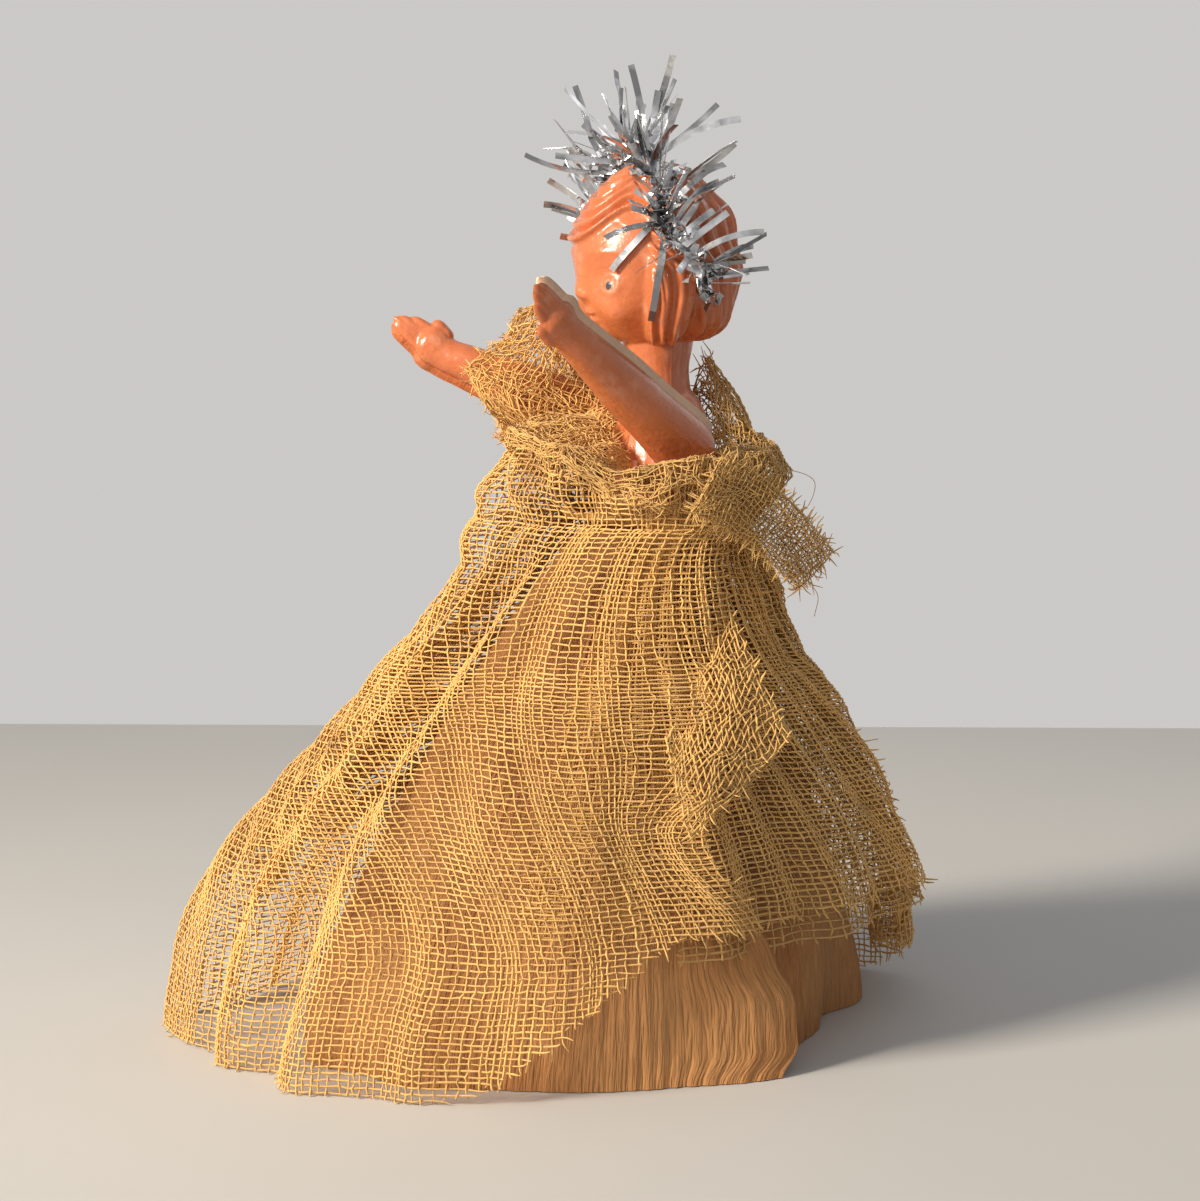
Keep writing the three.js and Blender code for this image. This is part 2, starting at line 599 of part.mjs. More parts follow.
function addTie() {
  const reachX = CHEST_HALF_WIDTH + TIE_OFFSET;
  const reachY = CHEST_HALF_DEPTH + TIE_OFFSET;
  const point = (u, v) => {
    const around = 2 * Math.PI * u;
    const section = 2 * Math.PI * v;
    const out = TIE_RADIUS * Math.cos(section);
    const up = TIE_RADIUS * Math.sin(section);
    const x = (reachX + out) * Math.cos(around);
    const y = (reachY + out) * Math.sin(around);
    return new THREE.Vector3(x, y, TIE_Z + up);
  };
  addPiece("waist_thread", ringTube(point, 32, 6), THREAD);
}

// A closed ring of a closed section
function ringTube(point, columns, sides) {
  const geometry = new THREE.TorusGeometry(1, 0.5, sides, columns);
  const place = geometry.attributes.position;
  const uv = geometry.attributes.uv;
  for (let i = 0; i < place.count; i++) place.setXYZ(i, ...point(uv.getX(i), uv.getY(i)));
  return geometry;
}

// Shawl: a sheet laid over the frill, from the chest out to a rolled edge.
// It runs low under the arms, and up between them at the front and behind

const FRILL_TOP = TIE_Z + GAUZE_HEAD;

function shawlPoint(u, v) {
  const angle = 2 * Math.PI * u;
  const facing = Math.sin(angle);
  const front = smooth(-facing, 0.72, 0.97);
  const back = smooth(facing, 0.72, 0.97);
  const side = 1 - smooth(Math.abs(facing - SHAWL_ROLL_BIAS), 0.3, 0.8);
  const low = FRILL_TOP + CLEARANCE + SHAWL_THICKNESS;
  const inner = CLEARANCE + SHAWL_THICKNESS / 2;
  const crest = low + front * SHAWL_FRONT_HEIGHT + back * SHAWL_BACK_HEIGHT;
  const sideRoll = mix(SHAWL_SIDE_HEIGHT / 3, SHAWL_SIDE_HEIGHT, side);
  const roll = low + sideRoll + front * SHAWL_FRONT_ROLL + back * SHAWL_BACK_ROLL;
  const puff = ridgeShare(angle, SHAWL_PUFF_ANGLE, SHAWL_PUFF_SPREAD);
  const reach = SHAWL_REACH + SHAWL_PUFF_REACH * puff;
  const flare = SHAWL_PUFF_FLARE * puff;
  const edge = FRILL_TOP - SHAWL_DROP - SHAWL_PUFF_DROP * puff;
  const section = new THREE.CatmullRomCurve3([
    new THREE.Vector3(inner, 0, crest),
    new THREE.Vector3(reach * 0.4, 0, mix(crest, roll, 0.4 * (1 - side))),
    new THREE.Vector3(reach * 0.78, 0, mix(roll, low + SHAWL_THICKNESS, side * 0.7)),
    new THREE.Vector3(reach, 0, roll),
    new THREE.Vector3(reach + SHAWL_BULGE + 0.6 * flare, 0, mix(roll, edge, 0.5)),
    new THREE.Vector3(reach + flare, 0, edge),
  ]);
  const place = section.getPoint(v);
  const x = (CHEST_HALF_WIDTH + place.x) * Math.cos(angle);
  const y = (CHEST_HALF_DEPTH + place.x) * Math.sin(angle);
  return new THREE.Vector3(x, y, place.z);
}

function tailPoint(u, v) {
  const root = shawlPoint(TAIL_ANGLE / 360, 0.68);
  const reach = TAIL_LENGTH * u;
  const across = TAIL_WIDTH * (v - 0.5) * mix(0.4, 1, u);
  const wave = TAIL_WAVE * Math.sin(3 * Math.PI * v) * u;
  const x = root.x + TAIL_SIDE_SHARE * reach + wave + across * 0.2 * u;
  const y = root.y + reach * Math.cos(radians(TAIL_SLOPE)) + across * 0.5 * u;
  const z = root.z - reach * u * Math.sin(radians(TAIL_SLOPE)) + across * mix(1, 0.7, u);
  return new THREE.Vector3(x, y, z);
}

function addShawl() {
  const cape = solid(sheet(shawlPoint, 40, evenly(6), SHAWL_THICKNESS, true));
  const tail = solid(sheet(tailPoint, 4, evenly(5), SHAWL_THICKNESS));
  addPiece("gauze_shawl", geometryOf(cape.add(tail)), GAUZE);
}

// Sleeve: the end of the shawl that wraps the right arm and moves with it
function addSleeve(arm) {
  const splay = -radians(ARM_SPLAY);
  const elbow = (ARM_LENGTH - HAND_LENGTH) * ARM_ELBOW_SHARE;
  const armRadius = mix(ARM_SHOULDER_RADIUS, ARM_ELBOW_RADIUS, SLEEVE_START / elbow);
  const inner = armRadius + CLEARANCE + SHAWL_THICKNESS / 2 + SLEEVE_FOLD_DEPTH;
  const point = (u, v) => {
    const angle = 2 * Math.PI * u;
    const along = SLEEVE_START + SLEEVE_LENGTH * v;
    const folds = SLEEVE_FOLD_DEPTH * Math.cos(SLEEVE_FOLDS * angle);
    const slack = SLEEVE_SLACK * smooth(v, 0, 0.5);
    const puff = SLEEVE_PUFF * smooth(Math.sin(angle), 0, 1) * smooth(v, 0, 0.6);
    const radius = inner + folds + slack + puff;
    const place = new THREE.Vector3(radius * Math.cos(angle), -along, radius * Math.sin(angle));
    return place.applyAxisAngle(new THREE.Vector3(0, 0, 1), splay);
  };
  addPiece("right_sleeve", sheet(point, 25, evenly(4), SHAWL_THICKNESS, true), GAUZE, arm);
}

// Crown: a wire bent over the head, with foil strips held in bindings on it

const BINDING_RADIUS = CROWN_WIRE_RADIUS + CLEARANCE + CROWN_BINDING_WALL;

function crownDirection(degrees) {
  const turn = smooth(Math.abs(degrees), CROWN_END_ANGLE, CROWN_HALF_SPAN);
  const lean = mix(-CROWN_LEAD, CROWN_END_LEAN, turn);
  const angle = radians(degrees);
  return new THREE.Vector3(Math.sin(angle), lean, Math.cos(angle)).normalize();
}

function crownPoint(degrees) {
  return headPoint(crownDirection(degrees), CLEARANCE + BINDING_RADIUS);
}

function crownCurve(from, to) {
  const count = 14;
  const points = evenly(count).map((share) => crownPoint(mix(from, to, share)));
  return new THREE.CatmullRomCurve3(points);
}

function tubeAlong(curve, radius, holeRadius, steps, sides) {
  const section = new THREE.Shape().absarc(0, 0, radius, 0, 2 * Math.PI);
  if (holeRadius > 0) section.holes.push(new THREE.Path().absarc(0, 0, holeRadius, 0, 2 * Math.PI));
  return new THREE.ExtrudeGeometry(section, { steps, extrudePath: curve, curveSegments: sides });
}

// Even draws in 0 to 1 that always come out alike
function draw(index, salt) {
  const value = Math.sin(index * 127.1 + salt * 311.7) * 43758.5453;
  return value - Math.floor(value);
}

function tinselStrip(index, from, to) {
  const share = (0.5 + (index % TINSEL_PER_GROUP)) / TINSEL_PER_GROUP;
  const degrees = mix(from, to, share);
  const base = crownPoint(degrees);
  const out = crownDirection(degrees);
  const along = crownPoint(degrees + 1).sub(crownPoint(degrees - 1)).normalize();
  const across = new THREE.Vector3().crossVectors(along, out).normalize();
  const sides = smooth(Math.abs(degrees), ...TINSEL_SIDE_ANGLES);
  const ends = smooth(Math.abs(degrees), CROWN_END_ANGLE, CROWN_HALF_SPAN);
  const forward = mix(TINSEL_FAN, TINSEL_SIDE_FAN, ends);
  const fan = radians(mix(-TINSEL_FAN, forward, draw(index, 1)));
  const lean = (0.5 - share + 0.3 * (draw(index, 2) - 0.5)) * TINSEL_LEAN;
  const aim = out.clone().multiplyScalar(Math.cos(fan)).addScaledVector(across, Math.sin(fan));
  aim.addScaledVector(along, lean);
  aim.x *= mix(1, TINSEL_SIDE_SHARE, sides);
  aim.normalize();
  const longest = mix(TINSEL_LONGEST, TINSEL_SIDE_LONGEST, sides);
  const length = mix(TINSEL_SHORTEST, longest, draw(index, 3));
  const bend = across.clone().multiplyScalar(length * TINSEL_BEND * (draw(index, 4) - 0.5));
  const middle = base.clone().addScaledVector(aim, length * 0.5).add(bend);
  const tip = base.clone().addScaledVector(aim, length);
  const root = base.addScaledVector(aim, BINDING_RADIUS - CROWN_BINDING_WALL / 2);
  const curve = new THREE.QuadraticBezierCurve3(root, middle, tip);
  const half = TINSEL_WIDTH / 2;
  const thin = TINSEL_THICKNESS / 2;
  const corners = [[-thin, -half], [thin, -half], [thin, half], [-thin, half]];
  const section = new THREE.Shape(corners.map(([x, y]) => new THREE.Vector2(x, y)));
  return new THREE.ExtrudeGeometry(section, { steps: 2, extrudePath: curve });
}

function addCrown() {
  const wire = tubeAlong(crownCurve(-CROWN_HALF_SPAN, CROWN_HALF_SPAN), CROWN_WIRE_RADIUS, 0, 24, 3);
  addPiece("crown_wire", wire, WIRE);
  const names = ["right_side", "right_top", "left_top", "left_side"];
  const share = (2 * CROWN_HALF_SPAN) / TINSEL_GROUPS;
  for (let group = 0; group < TINSEL_GROUPS; group++) {
    const from = -CROWN_HALF_SPAN + group * share + CROWN_GAP / 2;
    const to = from + share - CROWN_GAP;
    const holeRadius = CROWN_WIRE_RADIUS + CLEARANCE;
    const binding = solid(tubeAlong(crownCurve(from, to), BINDING_RADIUS, holeRadius, 9, 4));
    const strips = [];
    for (let strip = 0; strip < TINSEL_PER_GROUP; strip++) {
      strips.push(solid(tinselStrip(group * TINSEL_PER_GROUP + strip, from, to)));
    }
    addPiece("crown_tinsel_" + names[group], geometryOf(united([binding, ...strips])), FOIL);
  }
}

addBody();
addArm("left_arm", 1, LEFT_ARM_RISE, -1);
const rightArm = addArm("right_arm", -1, RIGHT_ARM_RISE, 1);
addElastic();
addCrepe();
addGauzeSkirt();
addTie();
addShawl();
addSleeve(rightArm);
addCrown();

export default topper;
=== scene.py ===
"""A fairy tree topper: a moulded doll in a gauze gown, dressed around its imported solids."""

import json
import math

import bmesh
import bpy
import numpy as np
from bpy.props import FloatProperty, FloatVectorProperty, IntProperty, PointerProperty
from bpy.types import Operator, Panel, PropertyGroup
from mathutils import Matrix, Vector


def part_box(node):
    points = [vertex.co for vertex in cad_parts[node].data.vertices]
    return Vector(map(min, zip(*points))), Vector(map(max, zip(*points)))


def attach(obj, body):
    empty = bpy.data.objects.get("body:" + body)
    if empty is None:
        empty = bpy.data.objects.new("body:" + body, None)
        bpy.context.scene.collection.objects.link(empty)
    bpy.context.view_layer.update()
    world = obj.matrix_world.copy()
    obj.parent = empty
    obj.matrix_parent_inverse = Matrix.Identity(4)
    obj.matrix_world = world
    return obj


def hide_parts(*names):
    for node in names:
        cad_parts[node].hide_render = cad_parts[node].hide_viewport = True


bl_info = {
    "name": "Fairy tree topper",
    "version": (1, 0, 0),
    "blender": (4, 5, 0),
    "location": "View3D > Sidebar > Fairy",
    "description": "Dresses a moulded doll in gauze, crepe paper and tinsel around its solids",
    "category": "Object",
}

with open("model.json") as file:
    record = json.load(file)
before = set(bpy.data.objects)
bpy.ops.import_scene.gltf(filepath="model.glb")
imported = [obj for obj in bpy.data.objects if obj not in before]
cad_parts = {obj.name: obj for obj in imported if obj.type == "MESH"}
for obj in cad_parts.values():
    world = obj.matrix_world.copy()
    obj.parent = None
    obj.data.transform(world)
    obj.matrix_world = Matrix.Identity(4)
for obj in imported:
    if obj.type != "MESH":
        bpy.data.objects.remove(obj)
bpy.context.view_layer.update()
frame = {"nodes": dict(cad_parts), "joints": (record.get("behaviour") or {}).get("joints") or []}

# Sizes below are millimetres, and meshes are scaled to metres as they are made
MM = 0.001
JOINT_AT = {joint["name"]: np.array(joint["pos_m"]) / MM for joint in frame["joints"]}
SHOULDER_Z = JOINT_AT["left_shoulder"][2]
TIE_LOW, TIE_HIGH = (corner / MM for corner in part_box("waist_thread"))
TIE_Z = (TIE_LOW.z + TIE_HIGH.z) / 2
BAND_Z = TIE_LOW.z - 0.35

# Doll
HEAD_Z = 134.0
HEAD_AT = np.array((0, 0, HEAD_Z))
HEAD_HALF = np.array((13.8, 14.0, 15.8))
CHIN_Z = 118.5
HIP_Z = 58.0
BODY_DEPTH_SHARE = 0.78
LEG_OFFSET = 4.4
PARTING_Y = 0.8
ARM_LENGTH = 47.0
HAND_LENGTH = 12.0
WRIST = ARM_LENGTH - HAND_LENGTH
ARM_SPLAY = 22.0
ARM_SEAM = 0.25
ARM_RISE = {"left": 38.0, "right": 24.0}
ARM_SIDE = {"left": 1, "right": -1}
CHEST_HALF_WIDTH = 11.4
CHEST_HALF_DEPTH = CHEST_HALF_WIDTH * BODY_DEPTH_SHARE
TURN_STEPS = 28

# Skirts
CREPE = {"inner": 0.65, "hem": (37.5, 54.0), "shift": (-1.0, -10.0), "flare": 1.3}
GAUZE = {"inner": 2.65, "hem": (43.5, 61.5), "shift": (-4.0, -13.0), "flare": 1.75}
CREPE_HEAD = 2.4
CREPE_EDGE = 12.0
CREPE_TURN = 384.0
CREPE_STEP = 0.95
CREPE_KICK = 5.0
CREPE_DROPS = (0, 0.63, 0.71, 0.8, 0.87, 0.95, 1)
CREPE_TURNS = (3, 2.5, 3.5, 6.75, 9.75, 8.75, 4.5)
CREPE_FOLD = 1.6
CREPE_TUCK = 10.0
CREPE_TUCK_AT = 58.0
CREPE_TUCK_SPREAD = 26.0
GAUZE_HEAD = 4.0
GAUZE_EDGE = 18.0
GAUZE_TURN = 405.0
GAUZE_STEP = 2.2
HEM_LIFT = 25.0
HEM_REST = 0.6
THREAD_REST = 0.3
THREAD_LIFT = 0.14
TAIL_ROOT_ANGLE = -4.0
TAIL_ROOT_WIDTH = 12.0
TAIL_TIP_WIDTH = 9.0
FINE_THREAD = 0.72
FRILL_TOP = TIE_Z + GAUZE_HEAD

# Crown
CROWN_HALF_SPAN = 104.0
CROWN_RISE = 1.55

# Stage, in metres and degrees, where the view turns from straight before the face to the left
VIEW_TURN = 68.0
CAMERA_AT = (0.436, -0.176, 0.140)
CAMERA_TURN = VIEW_TURN + 1.16
CAMERA_DIP = 7.85
FLOOR_SIZE = (2.4, 1.1)
FLOOR_FORWARD = 0.265
ROOM_LIGHT = 0.34
LAMPS = (
    # name, place, width, watts, spread and colour
    ("key", (0.16, -0.95, 0.52), 0.26, 3.0, 72, (1.0, 0.91, 0.78)),
    ("fill", (0.9, -0.6, 0.8), 0.9, 1.7, 180, (1.0, 0.98, 0.95)),
    ("rim", (-0.6, 0.9, 0.8), 0.7, 1.0, 180, (0.95, 0.97, 1.0)))
LAMP_AIM = Vector((0, 0, 0.08))


# Settings


class FairyDollSettings(PropertyGroup):
    """Sizes and colours of the moulded doll"""

    plastic: FloatVectorProperty(
        name="Plastic", description="Colour of the moulded doll", subtype="COLOR",
        size=3, default=(0.58, 0.16, 0.055), min=0, max=1)
    eye_paint: FloatVectorProperty(
        name="Eye paint", description="Colour of the painted pupils", subtype="COLOR",
        size=3, default=(0.03, 0.04, 0.065), min=0, max=1)
    voxel: FloatProperty(
        name="Mould grain", description="Finest step of the moulded surface", unit="LENGTH",
        default=0.292 * MM, min=0.15 * MM, max=1 * MM)
    arm_step: FloatProperty(
        name="Arm seam step", description="How far the halves of an arm are out of line",
        unit="LENGTH", default=1.25 * MM, min=0, max=2 * MM)


class FairyGownSettings(PropertyGroup):
    """Sizes and colours of the gauze and the crepe paper"""

    thread_pitch: FloatProperty(
        name="Thread pitch", description="Distance between two threads of the gauze",
        unit="LENGTH", default=1.22 * MM, min=1 * MM, max=4 * MM)
    thread_width: FloatProperty(
        name="Thread width", description="Width of one gauze thread", unit="LENGTH",
        default=0.33 * MM, min=0.2 * MM, max=1 * MM)
    gauze: FloatVectorProperty(
        name="Gauze", description="Colour of the gauze threads", subtype="COLOR",
        size=3, default=(0.75, 0.44, 0.13), min=0, max=1)
    crepe: FloatVectorProperty(
        name="Crepe", description="Colour of the crepe paper", subtype="COLOR",
        size=3, default=(0.43, 0.175, 0.05), min=0, max=1)


class FairyCrownSettings(PropertyGroup):
    """Sizes and colours of the tinsel"""

    strips: IntProperty(
        name="Strips", description="Foil strips in each tuft", default=30, min=8, max=60)
    strip_width: FloatProperty(
        name="Strip width", description="Width of a foil strip", unit="LENGTH",
        default=1.15 * MM, min=0.4 * MM, max=2 * MM)
    foil: FloatVectorProperty(
        name="Foil", description="Colour of the foil", subtype="COLOR",
        size=3, default=(0.72, 0.73, 0.75), min=0, max=1)


class FairyStageSettings(PropertyGroup):
    """Colours of the room, and the camera's lens"""

    floor: FloatVectorProperty(
        name="Floor", description="Colour of the floor", subtype="COLOR",
        size=3, default=(0.56, 0.545, 0.52), min=0, max=1)
    wall: FloatVectorProperty(
        name="Wall", description="Colour of the room behind", subtype="COLOR",
        size=3, default=(0.60, 0.585, 0.57), min=0, max=1)
    lens: FloatProperty(
        name="Lens", description="Focal length of the camera in millimetres", unit="CAMERA",
        default=81.3, min=20, max=200)


# Numbers


def smooth(value, low, high):
    share = np.clip((value - low) / (high - low), 0, 1)
    return share * share * (3 - 2 * share)


def mix(low, high, share):
    return low + (high - low) * share


def bell(value, middle, spread):
    return np.exp(-(((value - middle) / spread) ** 2))


def turned_bell(degrees, middle, spread):
    """A bell on a circle, so that it also counts a whole turn away."""
    return bell((degrees - middle + 180) % 360 - 180, 0, spread)


def unit_rows(rows):
    return rows / np.linalg.norm(rows, axis=-1, keepdims=True)


def eased(value, places, levels):
    """Levels at rising places, eased from each one to the next."""
    value = np.clip(value, places[0], places[-1])
    first = np.clip(np.searchsorted(places, value, side="right") - 1, 0, len(places) - 2)
    places, levels = np.asarray(places, float), np.asarray(levels, float)
    share = smooth(value, places[first], places[first + 1])
    return mix(levels[first], levels[first + 1], share)


def curve_through(knots, count):
    """Points on a smooth curve through a few knots."""
    knots = np.asarray(knots, float)
    ends = np.vstack((2 * knots[0] - knots[1], knots, 2 * knots[-1] - knots[-2]))
    place = np.linspace(0, len(knots) - 1 - 1e-9, count)
    first = place.astype(int)
    share = (place - first)[:, None]
    a, b, c, d = (ends[first + step] for step in range(4))
    return 0.5 * (2 * b + (c - a) * share + (2 * a - 5 * b + 4 * c - d) * share**2
                  + (3 * b - a - 3 * c + d) * share**3)


def ripple(u, v, seed, count, reach):
    """Soft waves in about -1 to 1 over u and v, with up to reach waves each way."""
    rng = np.random.default_rng(seed)
    total = np.zeros(np.broadcast(u, v).shape)
    for _ in range(count):
        along, across = rng.uniform(-reach, reach, 2)
        total += np.sin(2 * math.pi * (along * u + across * v) + rng.uniform(0, 2 * math.pi))
    return total / math.sqrt(count)


# Meshes


def add_object(name, data):
    piece = bpy.data.objects.new(name, data)
    bpy.context.scene.collection.objects.link(piece)
    return piece


def made_mesh(source, name):
    """The mesh that an object shows with its modifiers, in place of that object."""
    graph = bpy.context.evaluated_depsgraph_get()
    mesh = bpy.data.meshes.new_from_object(source.evaluated_get(graph))
    mesh.name = name
    data = source.data
    bpy.data.objects.remove(source)
    if isinstance(data, bpy.types.Mesh):
        bpy.data.meshes.remove(data)
    else:
        bpy.data.curves.remove(data)
    return mesh


def mesh_of(bm, name):
    mesh = bpy.data.meshes.new(name)
    bm.to_mesh(mesh)
    bm.free()
    return mesh


def dress(name, mesh, material, body, nodes=()):
    """A finished piece that rides on a body and stands for nodes."""
    piece = add_object(name, mesh)
    mesh.materials.clear()
    mesh.materials.append(material)
    mesh.shade_smooth()
    if body:
        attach(piece, body)
    if nodes:
        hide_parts(*nodes)
    return piece


def moulded(bm, name, voxel, passes):
    """Overlapping closed forms run together into one soft moulding."""
    source = add_object(name, mesh_of(bm, name))
    weld = source.modifiers.new("Run together", "REMESH")
    weld.mode = "VOXEL"
    weld.voxel_size = voxel
    ease = source.modifiers.new("Ease", "SMOOTH")
    ease.factor = 0.5
    ease.iterations = passes
    return made_mesh(source, name)


def half_of(mesh, name, place, normal, flash):
    """The part of a moulding behind a plane, closed there, with a raised seam."""
    bm = bmesh.new()
    bm.from_mesh(mesh)
    everything = bm.verts[:] + bm.edges[:] + bm.faces[:]
    bmesh.ops.bisect_plane(bm, geom=everything, plane_co=place, plane_no=normal, clear_outer=True)
    rim = [edge for edge in bm.edges if edge.is_boundary]
    bm.normal_update()
    for vert in {vert for edge in rim for vert in edge.verts}:
        vert.co += vert.normal * flash
    bmesh.ops.triangle_fill(bm, edges=rim, use_beauty=True, use_dissolve=False)
    bmesh.ops.recalc_face_normals(bm, faces=bm.faces)
    return mesh_of(bm, name)


def turn_form(bm, pairs, divisions, matrix, squeeze=None):
    """A closed form turned about Z through pairs of radius and height."""
    profile = curve_through(pairs, divisions)
    profile[:, 0] = np.maximum(profile[:, 0], 0)
    profile[[0, -1], 0] = 0
    verts = [bm.verts.new((radius, 0, height)) for radius, height in profile]
    edges = [bm.edges.new(pair) for pair in zip(verts, verts[1:])]
    bmesh.ops.spin(
        bm, geom=verts + edges, cent=(0, 0, 0), axis=(0, 0, 1), angle=2 * math.pi,
        steps=TURN_STEPS, use_merge=True)
    fresh = [vert for vert in bm.verts if not vert.tag]
    bmesh.ops.remove_doubles(bm, verts=fresh, dist=1e-4)
    fresh = [vert for vert in bm.verts if not vert.tag]
    faces = list({face for vert in fresh for face in vert.link_faces})
    bmesh.ops.recalc_face_normals(bm, faces=faces)
    for vert in fresh:
        if squeeze:
            vert.co = squeeze(vert.co)
        vert.co = matrix @ vert.co
        vert.tag = True


def round_form(bm, radii, matrix):
    """An egg form with three radii."""
    made = bmesh.ops.create_uvsphere(bm, u_segments=24, v_segments=16, radius=1)
    scale = Matrix.Diagonal((*radii, 1))
    for vert in made["verts"]:
        vert.co = matrix @ scale @ vert.co
        vert.tag = True


def tubes(name, lines, width):
    """Threads as one mesh: each line is its points and the share of width at each."""
    curve = bpy.data.curves.new(name, "CURVE")
    curve.dimensions = "3D"
    curve.bevel_depth = width / 2
    curve.bevel_resolution = 0
    curve.use_fill_caps = True
    for points, shares in lines:
        spline = curve.splines.new("POLY")
        spline.points.add(len(points) - 1)
        spline.points.foreach_set("co", np.c_[points * MM, np.ones(len(points))].ravel())
        spline.points.foreach_set("radius", np.asarray(shares, float))
    return made_mesh(add_object(name, curve), name)


def ribbons(name, lines, facings, width, thickness):
    """Flat strips as one mesh, each along a line and facing a given way."""
    verts, faces = [], []
    for line, facing in zip(lines, facings):
        along = unit_rows(np.gradient(line, axis=0))
        across = unit_rows(np.cross(along, facing)) * width / 2
        proud = unit_rows(np.cross(across, along)) * thickness / 2
        first = len(verts)
        corners = (across + proud, across - proud, -across - proud, -across + proud)
        rows = np.stack([line + corner for corner in corners], axis=1)
        verts += list(rows.reshape(-1, 3) * MM)
        for step in range(first, len(verts) - 4, 4):
            for corner, after in ((0, 1), (1, 2), (2, 3), (3, 0)):
                faces.append((step + corner, step + after, step + after + 4, step + corner + 4))
        last = len(verts) - 4
        faces += [(first + 3, first + 2, first + 1, first), (last, last + 1, last + 2, last + 3)]
    mesh = bpy.data.meshes.new(name)
    mesh.from_pydata(verts, [], faces)
    return mesh


# Woven cloth


def weave(surface, columns, rows, seed, wobble, spread=(1.0, 1.0)):
    """Crossings of a cloth's threads on surface(u, v), and the cloth's normals there.
    Each thread wanders by up to wobble of the pitch."""
    rng = np.random.default_rng(seed)
    u, v = np.meshgrid(np.linspace(0, 1, columns), np.linspace(0, 1, rows), indexing="ij")
    sway = ripple(u * spread[0], v * spread[1], seed + 1, 7, 1)
    sag = ripple(u * spread[0], v * spread[1], seed + 2, 7, 1)
    own = np.cumsum(rng.normal(0, 0.35, u.shape), axis=1)
    own -= own.mean(axis=1, keepdims=True)
    own = np.clip(own, -1.4, 1.4)
    u = np.clip(u + wobble * (sway + 0.4 * own + rng.normal(0, 0.25, u.shape)) / columns, 0, 1)
    v = np.clip(v + wobble * (sag + rng.normal(0, 0.3, v.shape)) / rows, 0, 1)
    step = 1e-3
    points = surface(u, v)
    along = surface(u + step, v) - surface(u - step, v)
    down = surface(u, v + step) - surface(u, v - step)
    normals = np.cross(down, along)
    normals /= np.maximum(np.linalg.norm(normals, axis=2, keepdims=True), 1e-9)
    return points, normals, (u, v)


def flat_of(points):
    """Width and length of a cloth, in metres, measured along its threads."""
    sides = (np.linalg.norm(np.diff(points, axis=way), axis=2).sum(axis=way).mean() for way in (0, 1))
    return tuple(float(side) * MM for side in sides)


def runs(mask):
    """First and last index of each unbroken run in a mask."""
    edges = np.flatnonzero(np.diff(np.r_[0, mask.astype(int), 0]))
    return [(first, last) for first, last in zip(edges[::2], edges[1::2]) if last - first > 1]


def frayed(points, rng, fray):
    """A thread with loose ends drawn out past its last crossings."""
    ends = []
    for tip, before in ((points[0], points[1]), (points[-1], points[-2])):
        away = (tip - before) / max(np.linalg.norm(tip - before), 1e-6)
        reach = fray * rng.uniform(0.15, 1.0)
        bend = rng.normal(0, 0.35, 3)
        first = tip + (away + 0.3 * bend) * reach * 0.5
        ends.append((first, first + (away + bend) * reach * 0.5))
    head, tail = ends
    return np.vstack((head[1], head[0], points, tail[0], tail[1]))


def thread_lines(points, normals, seed, fray, keep=None):
    """Warp and weft through all of a cloth's crossings, or those to keep, over and
    under each other."""
    rng = np.random.default_rng(seed)
    columns, rows = points.shape[:2]
    if keep is None:
        keep = np.ones((columns, rows), bool)
    even = np.add.outer(np.arange(columns), np.arange(rows)) % 2 == 0
    raised = normals * np.where(even, THREAD_LIFT, -THREAD_LIFT)[:, :, None]
    lines = []
    for count, grid, mask in ((columns, points + raised, keep),
                              (rows, np.swapaxes(points - raised, 0, 1), keep.T)):
        for index in range(count):
            for first, last in runs(mask[index]):
                line = frayed(grid[index, first:last], rng, fray)
                line[:, 2] = np.maximum(line[:, 2], THREAD_REST)
                shares = rng.uniform(0.78, 1.15) + 0.13 * rng.standard_normal(len(line))
                slub = rng.integers(0, len(line))
                shares[slub : slub + 3] += rng.choice((0, 0.5), p=(0.6, 0.4))
                shares[[0, -1]] = 0.45
                lines.append((line, np.clip(shares, 0.4, 1.8)))
    return lines


def cloth_lines(surface, counts, seeds, wobble, spread, fray):
    """Threads of a whole cloth, with one seed for its weave and one for its threads."""
    points, normals, _ = weave(surface, *counts, seeds[0], wobble, spread)
    return thread_lines(points, normals, seeds[1], fray)


# Materials


# A pale plastic colour that is painted light, then colours that age gives the plastic, the gauze and
# the crepe
PAINTED_LIGHT_PLASTIC = (0.92, 0.60, 0.39)
RUBBED = (0.8, 0.42, 0.26)
STAINED = (0.24, 0.11, 0.03)
BLEACHED = (0.62, 0.36, 0.15)


def colour_of(red, green, blue):
    """A colour as it is seen on a screen, 0 to 255, for a shader."""
    parts = (np.array((red, green, blue)) / 255) ** 2.2
    return (*parts, 1)


def socket_group(name, inputs, outputs):
    group = bpy.data.node_groups.new(name, "ShaderNodeTree")
    for label, default in inputs:
        socket = group.interface.new_socket(label, in_out="INPUT", socket_type="NodeSocketFloat")
        socket.default_value = default
    for label in outputs:
        group.interface.new_socket(label, in_out="OUTPUT", socket_type="NodeSocketFloat")
    return group, group.nodes.new("NodeGroupInput"), group.nodes.new("NodeGroupOutput")


